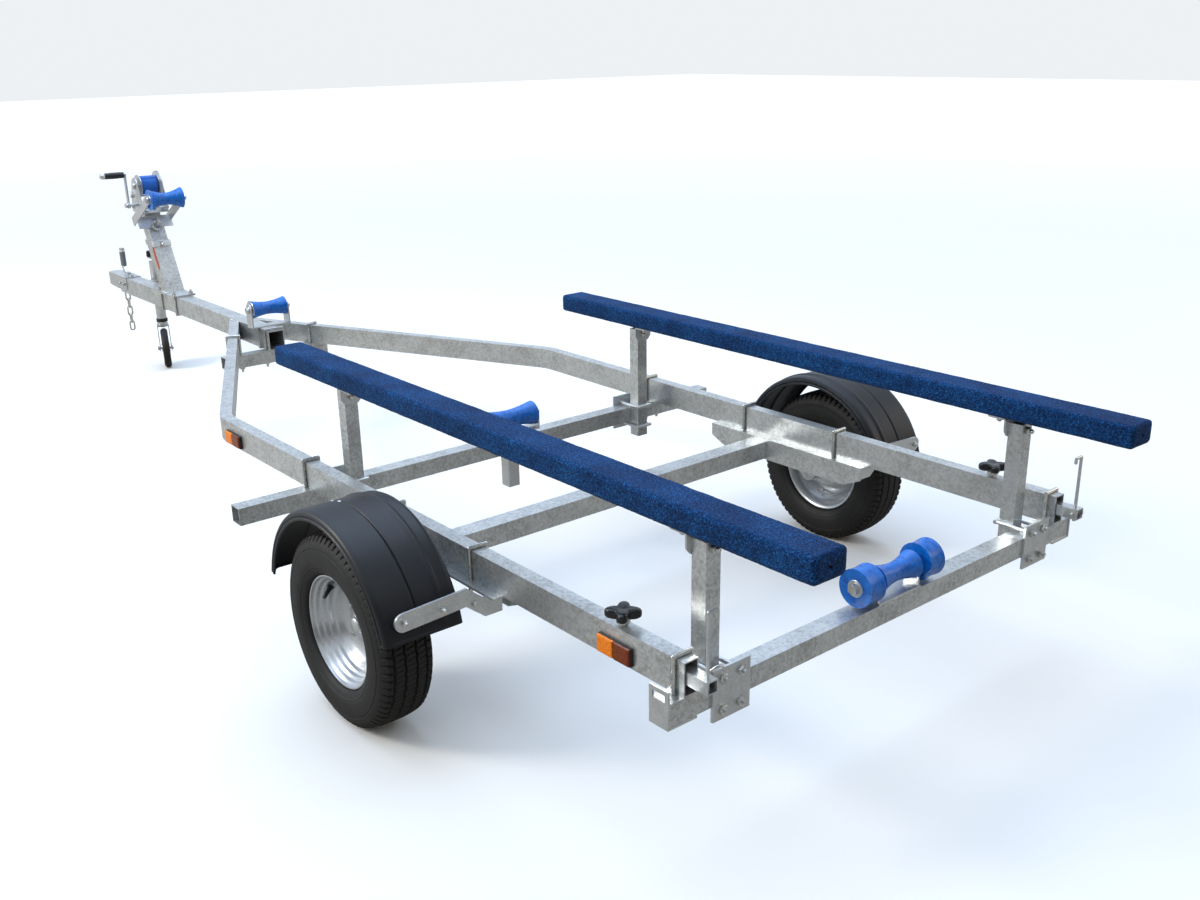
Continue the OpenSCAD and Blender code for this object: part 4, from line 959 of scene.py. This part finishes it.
gripZ = crankZ + winchLook["crankLength"]
gripCap = capOver(gripLook["radius"] + 0.2, gripLook["capFrom"] + 0.5, gripLook["high"] + 3, 3)
addPiece("crankGrip", [alongY(crankGrip(gripLook), crankX, 0, gripZ)], blackGrip, "crank_body")
addPiece("crankGripCap", [alongY(gripCap, crankX, 0, gripZ)], whiteCap, "crank_body")
crankBolts = nutOn((crankX, 110.1, crankZ), (0, 1, 0), rod=7.4, flats=19.0, height=9.0, tail=0)
addFitting("crankNut", crankBolts, "crank_body")
drumBolts = nutOn((drumX, 61.2, drumZ), (0, 1, 0), rod=7.4, flats=19.0, height=6.0, tail=0)
addFitting("drumNut", drumBolts, "drum_body")


# bars across the winch frame, bolts of its foot, and its side plates, all from the drum's axle
caseLook = dict(bars=((-52, -101), (52, -101), (50, -53)), sideY=61.1, footX=48.0, footY=36.0, footZ=-119.9)


def winchDetails(look):
    # spacer bars across the winch frame with bolt heads, bearing bosses, and the pawl beside the gear
    parts = []
    for dx, dz in look["bars"]:
        x, z = drumX + dx, drumZ + dz
        for s in (-1, 1):
            parts += boltHead((x, s * look["sideY"], z), (0, s, 0), flats=13.0, height=5.0)
        parts.append(alongY(spun([(5, -60), (5, 60)], 16), x, 0, z))
    ring = ringSpun([(9.2, 0.1), (15, 0.1), (15, 3.0), (13.5, 4.2), (9.2, 4.2)], 40)
    parts += atBothEnds(ring, drumX, 61.0, drumZ)
    for dx in (-look["footX"], look["footX"]):
        for dy in (-look["footY"], look["footY"]):
            parts += boltHead((drumX + dx, dy, drumZ + look["footZ"]), (0, 0, 1), flats=15.0, height=5.5)
    pawl = prism(np.array([(-6, -5), (28, -7), (36, -1), (30, 5), (4, 7), (-7, 3)]), 0, 5.5, 0.8)
    v = pawl[0]
    placedPawl = np.column_stack([drumX + 34 + v[:, 0] * 0.55, 64.2 + v[:, 2], drumZ - 47 + v[:, 1] + v[:, 0] * 0.7])
    parts.append((placedPawl, outward(placedPawl, pawl[1])))
    return parts


addFitting("winchDetails", winchDetails(caseLook))


# winch post: collar, foot weld, red strip

postLook = dict(foot=3335.0, lean=26.0, half=40.0, top=690.0, mastHalf=36.7)


def leanAt(z):
    return postLook["foot"] + (z - 450) * math.tan(math.radians(postLook["lean"]))


def postCollar():
    # square ring of folded strip round the post's mouth, level, a little wider than the post
    c = math.cos(math.radians(postLook["lean"]))
    outer = roundedBox(2 * postLook["half"] / c + 8, 2 * postLook["half"] + 8, 5, 5)
    inner = roundedBox(2 * (postLook["mastHalf"] + 0.6) / c, 2 * (postLook["mastHalf"] + 0.6), 2, 5)
    rings = []
    for outline, z in ((outer, -24), (outer * 1.01, -12), (outer, 0.5), (inner, 0.5), (inner, -24)):
        x = leanAt(postLook["top"] + z)
        rings.append(np.column_stack([outline[:, 0] + x, outline[:, 1], np.full(len(outline), postLook["top"] + z)]))
    return sheetOf(np.stack(rings), closeU=True, closeV=True)


def redStrip():
    # red-oxide strip standing in for a long slot that shows the red inside, rounded at both ends, proud of the face
    # by half a millimetre
    z = np.linspace(562, 664, 40)
    x = leanAt(z) - 24
    path = np.column_stack([x, np.full_like(z, postLook["half"] + 0.2), z])
    width = 12 * np.sqrt(np.clip(1 - (np.abs(np.linspace(-1, 1, 40)) ** 6), 0.02, 1))
    base = roundedBox(1, 1, 0.3, 3) * 2
    section = base[None] * np.stack([width, np.full_like(width, 0.6)], -1)[:, None]
    return carried(path, section, up=(0, 1, 0))


def weldAlong(path, radius=3.2, seed=1):
    # weld bead: a round section whose radius ripples along the run
    path = np.asarray(path, float)
    gen = np.random.default_rng(seed)
    length = np.concatenate([[0], np.cumsum(np.linalg.norm(np.diff(path, axis=0), axis=1))])
    count = max(8, int(length[-1] / 1.6))
    t = np.linspace(0, length[-1], count)
    p = np.column_stack([np.interp(t, length, path[:, k]) for k in range(3)])
    r = radius * (1 + 0.14 * np.sin(t * 2 * np.pi / 5.0) + 0.05 * gen.normal(size=count))
    section = circleOf(1, 10)[None] * r[:, None, None]
    up = (0, 0, 1) if abs(p[-1] - p[0])[2] < 0.5 * length[-1] else (1, 0.2, 0)
    return carried(p, section, up=up)


addFitting("postCollar", [postCollar()], "chassis", zincPlatedSteel)
addPiece("postStrip", [redStrip()], redPrimer, "chassis")
clampBolt = nutOn((leanAt(678) - 48, 0, 678), (-1, 0, 0), flats=17.0, height=8.0, tail=10)
addFitting("postClampBolt", clampBolt)


def frameWelds(look):
    # beads where the rails meet the drawbar, round the winch post's foot and under the roller stems; a rail's outer
    # face leaves its bend at the splay angle and runs straight until it meets the drawbar's side
    a = math.radians(look["splay"])
    bendEndY = look["bendY"] + look["bendRadius"] * math.cos(a)
    outer = look["bendX"] + look["bendRadius"] * math.sin(a) + (bendEndY - look["drawHalf"]) / math.tan(a)
    inner = outer - look["railWidth"] / math.sin(a)
    parts = bothSides([
        weldAlong([(outer - 2, 36, 445), (inner, 36, 445)], 2.6, 2),
        weldAlong([(outer + 0.5, 36, 372), (outer + 0.5, 36, 443)], 2.8, 3),
    ])
    z, w = look["plateTop"], postLook["half"]
    back, front = leanAt(z) - 43.5, leanAt(z) + 43.5
    sides = [[(back, -w, z), (back, w, z)], [(front, -w, z), (front, w, z)], [(back, w, z), (front, w, z)],
             [(back, -w, z), (front, -w, z)]]
    return parts + [weldAlong(run, 3.4, 10 + k) for k, run in enumerate(sides)]


addPiece("frameWelds", frameWelds(frameLook), hotDipGalvanisedSteel, "chassis")
print("winch made")


# coupling and jockey wheel

handleLook = dict(x=3992.0, low=499.0, high=570.0, radius=14.0, ribPitch=7.0)


def handleGrip(look):
    # sleeve over the CAD's grip, ringed by shallow ribs
    z = np.linspace(look["low"], look["high"], 50)
    return sleeveOf(look["radius"] + 0.3 * np.cos((z - z[0]) * 2 * np.pi / look["ribPitch"]), z, 8)


def onHandle(part):
    return [placedAt(part, (handleLook["x"], 0, 0))]


handleCap = capOver(handleLook["radius"] + 0.2, handleLook["high"] + 0.5, handleLook["high"] + 15.5, 2.4)
addPiece("handleGrip", onHandle(handleGrip(handleLook)), greyGrip, "chassis")
addPiece("handleCap", onHandle(handleCap), whiteCap, "chassis")

jockeyLook = dict(x=3780.0, y=-81.0, trail=60.0, swivel=-19.0, wheelZ=100.0)


def swivelled(parts, look):
    # parts made about the tube's own axis are turned with the fork and moved to the tube
    turn = np.array(Matrix.Rotation(math.radians(look["swivel"]), 3, "Z"))
    return [(v @ turn.T + [look["x"], look["y"], 0], f) for v, f in parts]


def jockeyDisc(look):
    # pressed steel disc let into each face of the rubber tyre, with its rolled rim
    ring = ringSpun([(21, 7.4), (60.5, 7.4), (64.5, 14.5), (67, 17.2), (68.6, 16.6), (66, 13.4), (63, 7.0),
                     (21, 7.0)], 56)
    hub = ringSpun([(6.6, 18.6), (12, 18.6), (14, 20.2), (19.4, 20.2), (20.4, 18.6), (20.6, 7.2), (19.6, 7.2)], 40)
    parts = []
    for s in (-1, 1):
        parts += [placedAt(p, (-look["trail"], 0, look["wheelZ"]), (0, s, 0)) for p in (ring, hub)]
    return swivelled(parts, look)


def jockeyBolts(look):
    parts = []
    for s in (-1, 1):
        parts += nutOn((-look["trail"], s * 29.1, look["wheelZ"]), (0, s, 0), rod=5.8, flats=18.0, height=8.0, tail=0)
    return swivelled(parts, look)


addFitting("jockeyWheelDiscs", jockeyDisc(jockeyLook), "jockey_wheel_body", zincPlatedSteel)
addFitting("jockeyAxleNuts", jockeyBolts(jockeyLook), "jockey_fork_body")
collarRing = ringSpun([(24.3, 226), (27.2, 226.4), (27.6, 229), (27.6, 242), (27.2, 244), (24.3, 244.4)], 48)
addPiece("jockeyTubeCollar", [placedAt(collarRing, (jockeyLook["x"], jockeyLook["y"], 0))], blackRubberCap,
         "jockey_tube_body")
knobProfile = [(9.9, 552), (11.5, 553), (12.2, 560), (11.6, 574), (10.6, 580), (7, 583), (0.05, 584)]
addPiece("jockeyKnob", [placedAt(spun(knobProfile, 28), (jockeyLook["x"] + 58, jockeyLook["y"], 0))], blackNylon,
         "jockey_tube_body")
handlePath = [(3780, -136, 412), (3780, -150, 412), (3774, -158, 400), (3768, -160, 372)]
clampHandle = carried(handlePath, circleOf(5, 12), up=(1, 0, 0))
addFitting("jockeyClampHandle", [clampHandle])
clampNuts = []
for x in (jockeyLook["x"] - 50, jockeyLook["x"] + 50):
    for z in (394, 428):
        clampNuts += boltHead((x, -43.1, z), (0, -1, 0), flats=15.0, height=6.0)
addFitting("jockeyClampBolts", clampNuts)
couplingBolts = []
for x in (3905, 3950):
    for s in (-1, 1):
        couplingBolts += nutOn((x, s * 39.3, 420), (0, s, 0), flats=17.0, height=7.0, tail=5)
addFitting("couplingBolts", couplingBolts)
print("coupling and jockey made")


# lighting arms: spring clip and linch pin

def clipWire(points, radius):
    # smooth wire through given points, by sampling a cubic between them
    p = np.asarray(points, float)
    k = np.arange(len(p))
    t = np.linspace(0, len(p) - 1, 12 * len(p))
    i = np.clip(t.astype(int), 0, len(p) - 2)
    f = (t - i)[:, None]
    tangent = np.gradient(p, axis=0)
    h00, h10 = 2 * f ** 3 - 3 * f ** 2 + 1, f ** 3 - 2 * f ** 2 + f
    h01, h11 = -2 * f ** 3 + 3 * f ** 2, f ** 3 - f ** 2
    curve = h00 * p[i] + h10 * tangent[i] + h01 * p[i + 1] + h11 * tangent[i + 1]
    return carried(curve, circleOf(radius, 10), up=(0.31, 0.17, 0.93))


leftClip = clipWire([(-958, 649, 428), (-962, 640, 436), (-970, 628, 446), (-972, 616, 440), (-970, 610, 424),
                     (-966, 604, 408)], 2.2)
addFitting("springClip", [leftClip], "light_arm_left_body")
linchRing = ringSpun(circleOf(1.8, 10) + [13, 0], 36)
addPiece("linchPin", [placedAt(linchRing, (-968, -649 - 20, 402), (0.6, 0.5, 0.4)),
                      placedAt(spun([(4, -6), (4, 34), (2.5, 37)], 16), (-966, -649 - 14, 411), (0, 1, 0))],
         zincPlatedBolts, "light_arm_right_body")


# knobs: four rounded lobes

def lobedKnob(look):
    # plan radius swells four times round; the height falls off near the rim by a superellipse
    a = roundTurn(128)[:, None]
    v = np.linspace(0, 1, 24)[None]
    plan = look["radius"] * (0.78 + 0.22 * np.cos(4 * (a - np.pi / 4)))
    t = v * np.pi
    rim = np.sin(t) ** 0.34
    z = look["middle"] - look["half"] * np.sign(np.cos(t)) * np.abs(np.cos(t)) ** 0.55
    rad = plan * (0.012 + 0.988 * rim)
    dip = np.where(t > np.pi / 2, -3.0 * np.exp(-(rad / 12) ** 2), 0)
    points = np.stack([rad * np.cos(a), rad * np.sin(a), z + dip + 0 * a], -1).transpose(1, 0, 2)
    return sheetOf(points, closeV=True, caps=True)


knobLook = dict(radius=38.0, half=11.0, middle=472.0)
knobs, knobShafts = [], []
for s in (1, -1):
    knobs.append(placedAt(lobedKnob(knobLook), (-722, s * 649, 0)))
    knobShafts.append(placedAt(spun([(10, 460.5), (14, 459), (15, 452), (14, 450.5)][::-1], 24), (-722, s * 649, 0)))
    knobShafts.append(placedAt(threadPart(5.2, 425.5, 451), (-722, s * 649, 0)))
    knobShafts.append(placedAt(hexPart(17, 445.3, 453), (-722, s * 649, 0)))
knobPiece = addPiece("starKnobs", knobs, blackNylon, "chassis", smooth=60)
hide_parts("light_arm_knobs")
addFitting("starKnobBolts", knobShafts)
print("arms and knobs made")


# camera, light and floor

view = dict(x=-2373.95, y=2053.65, z=1552.17, yaw=-39.73, pitch=-19.73, roll=-0.94, focalShare=1198.2 / 1200,
            shiftX=-0.0072, shiftY=0.0174)


def addCamera(v):
    # looking direction from yaw and pitch, then the roll about it
    yaw, pitch, roll = (math.radians(v[k]) for k in ("yaw", "pitch", "roll"))
    ahead = Vector((math.cos(yaw) * math.cos(pitch), math.sin(yaw) * math.cos(pitch), math.sin(pitch)))
    right = ahead.cross(Vector((0, 0, 1))).normalized()
    up = right.cross(ahead)
    r = right * math.cos(roll) + up * math.sin(roll)
    u = -right * math.sin(roll) + up * math.cos(roll)
    data = bpy.data.cameras.new("viewCamera")
    camera = bpy.data.objects.new("viewCamera", data)
    bpy.context.scene.collection.objects.link(camera)
    m = Matrix((r, u, -ahead)).transposed().to_4x4()
    m.translation = Vector(((v["x"] + axle["x"]) / 1000, v["y"] / 1000, v["z"] / 1000))
    camera.matrix_world = m
    data.sensor_width = 36
    data.lens = 36 * v["focalShare"]
    data.shift_x, data.shift_y = v["shiftX"], v["shiftY"]
    data.clip_end = 200
    bpy.context.scene.camera = camera


def addLight(name, place, target, size, power, hexText):
    data = bpy.data.lights.new(name, "AREA")
    data.shape = "RECTANGLE"
    data.size, data.size_y = size
    data.energy = power
    data.color = toLinear(hexText)[:3]
    light = bpy.data.objects.new(name, data)
    light.location = place
    light.rotation_euler = (Vector(target) - Vector(place)).to_track_quat("-Z", "Y").to_euler()
    bpy.context.scene.collection.objects.link(light)


addCamera(view)
addLight("skyPanel", (1.0, 0, 6.5), (0, 0, 0), (9, 6), 330, "#CCE1FF")
addLight("keyPanel", (3.0, 6.5, 4.8), (0, 0, 0.4), (2.2, 2.2), 400, "#FFFBF2")
addLight("fillPanel", (-4.5, -5.5, 2.6), (0, 0, 0.4), (4, 2.5), 40, "#FFEBD0")

floorMesh = bpy.data.meshes.new("studioFloor")
floorMesh.from_pydata([(-40, -40, 0), (40, -40, 0), (40, 40, 0), (-40, 40, 0)], [], [(0, 1, 2, 3)])
floorPiece = bpy.data.objects.new("studioFloor", floorMesh)
bpy.context.scene.collection.objects.link(floorPiece)
# painted studio floor; far out it glows faintly, as a lit cove does, so that it meets the pale wall
floorMaterial, floorTree, floorShader, floorPlace = newMaterial("paleFloor", "#F0EFEC", Roughness=0.9)
floorReach = addNode(floorTree, "ShaderNodeVectorMath", {0: (floorPlace, "Object")}, operation="LENGTH")
floorShare = addNode(floorTree, "ShaderNodeMath", {0: (floorReach, "Value")}, operation="DIVIDE", in_1=20.0)
floorGlow = ramp(floorTree, floorShare, "Value", [(0.2, 0.0), (0.5, 0.28), (0.9, 0.5)])
floorTree.links.new(floorGlow.outputs["Color"], floorShader.inputs["Emission Strength"])
floorShader.inputs["Emission Color"].default_value = toLinear("#FBFCFF")
lightPath = addNode(floorTree, "ShaderNodeLightPath")
floorTone = addNode(floorTree, "ShaderNodeMix", {"Factor": (lightPath, "Is Camera Ray")}, data_type="RGBA")
floorTone.inputs[6].default_value = toLinear("#A39C92")
floorTone.inputs[7].default_value = toLinear("#F0EFEC")
floorTree.links.new(floorTone.outputs[2], floorShader.inputs["Base Color"])
floorMesh.materials.append(floorMaterial)

world = bpy.data.worlds.new("studio")
bpy.context.scene.world = world
world.use_nodes = True
backdrop = next(n for n in world.node_tree.nodes if n.type == "BACKGROUND")
# the sky is brightest ahead, to the left and above, and falls off behind, as under an open shed
tree = world.node_tree
direction = addNode(tree, "ShaderNodeTexCoord")
towards = addNode(tree, "ShaderNodeVectorMath", {0: (direction, "Generated")}, operation="DOT_PRODUCT",
                  in_1=(0.45, -0.12, 0.88))
sky = ramp(tree, towards, "Value", [(0.0, "#625C53"), (0.12, "#A6A7A7"), (0.27, "#EDF4FC"), (0.8, "#DCEAFC"),
                                    (1.0, "#D3E5FC")])
# the camera sees a plain pale wall all round, and only the trailer is lit by the sky above
seenBy = addNode(tree, "ShaderNodeLightPath")
wall = addNode(tree, "ShaderNodeMix", {"Factor": (seenBy, "Is Camera Ray"), 6: (sky, "Color")}, data_type="RGBA")
wall.inputs[7].default_value = toLinear("#EEF1F4")
tree.links.new(wall.outputs[2], backdrop.inputs["Color"])
backdrop.inputs["Strength"].default_value = 1.0
bpy.context.scene.view_settings.view_transform = "Standard"
print("stage set")
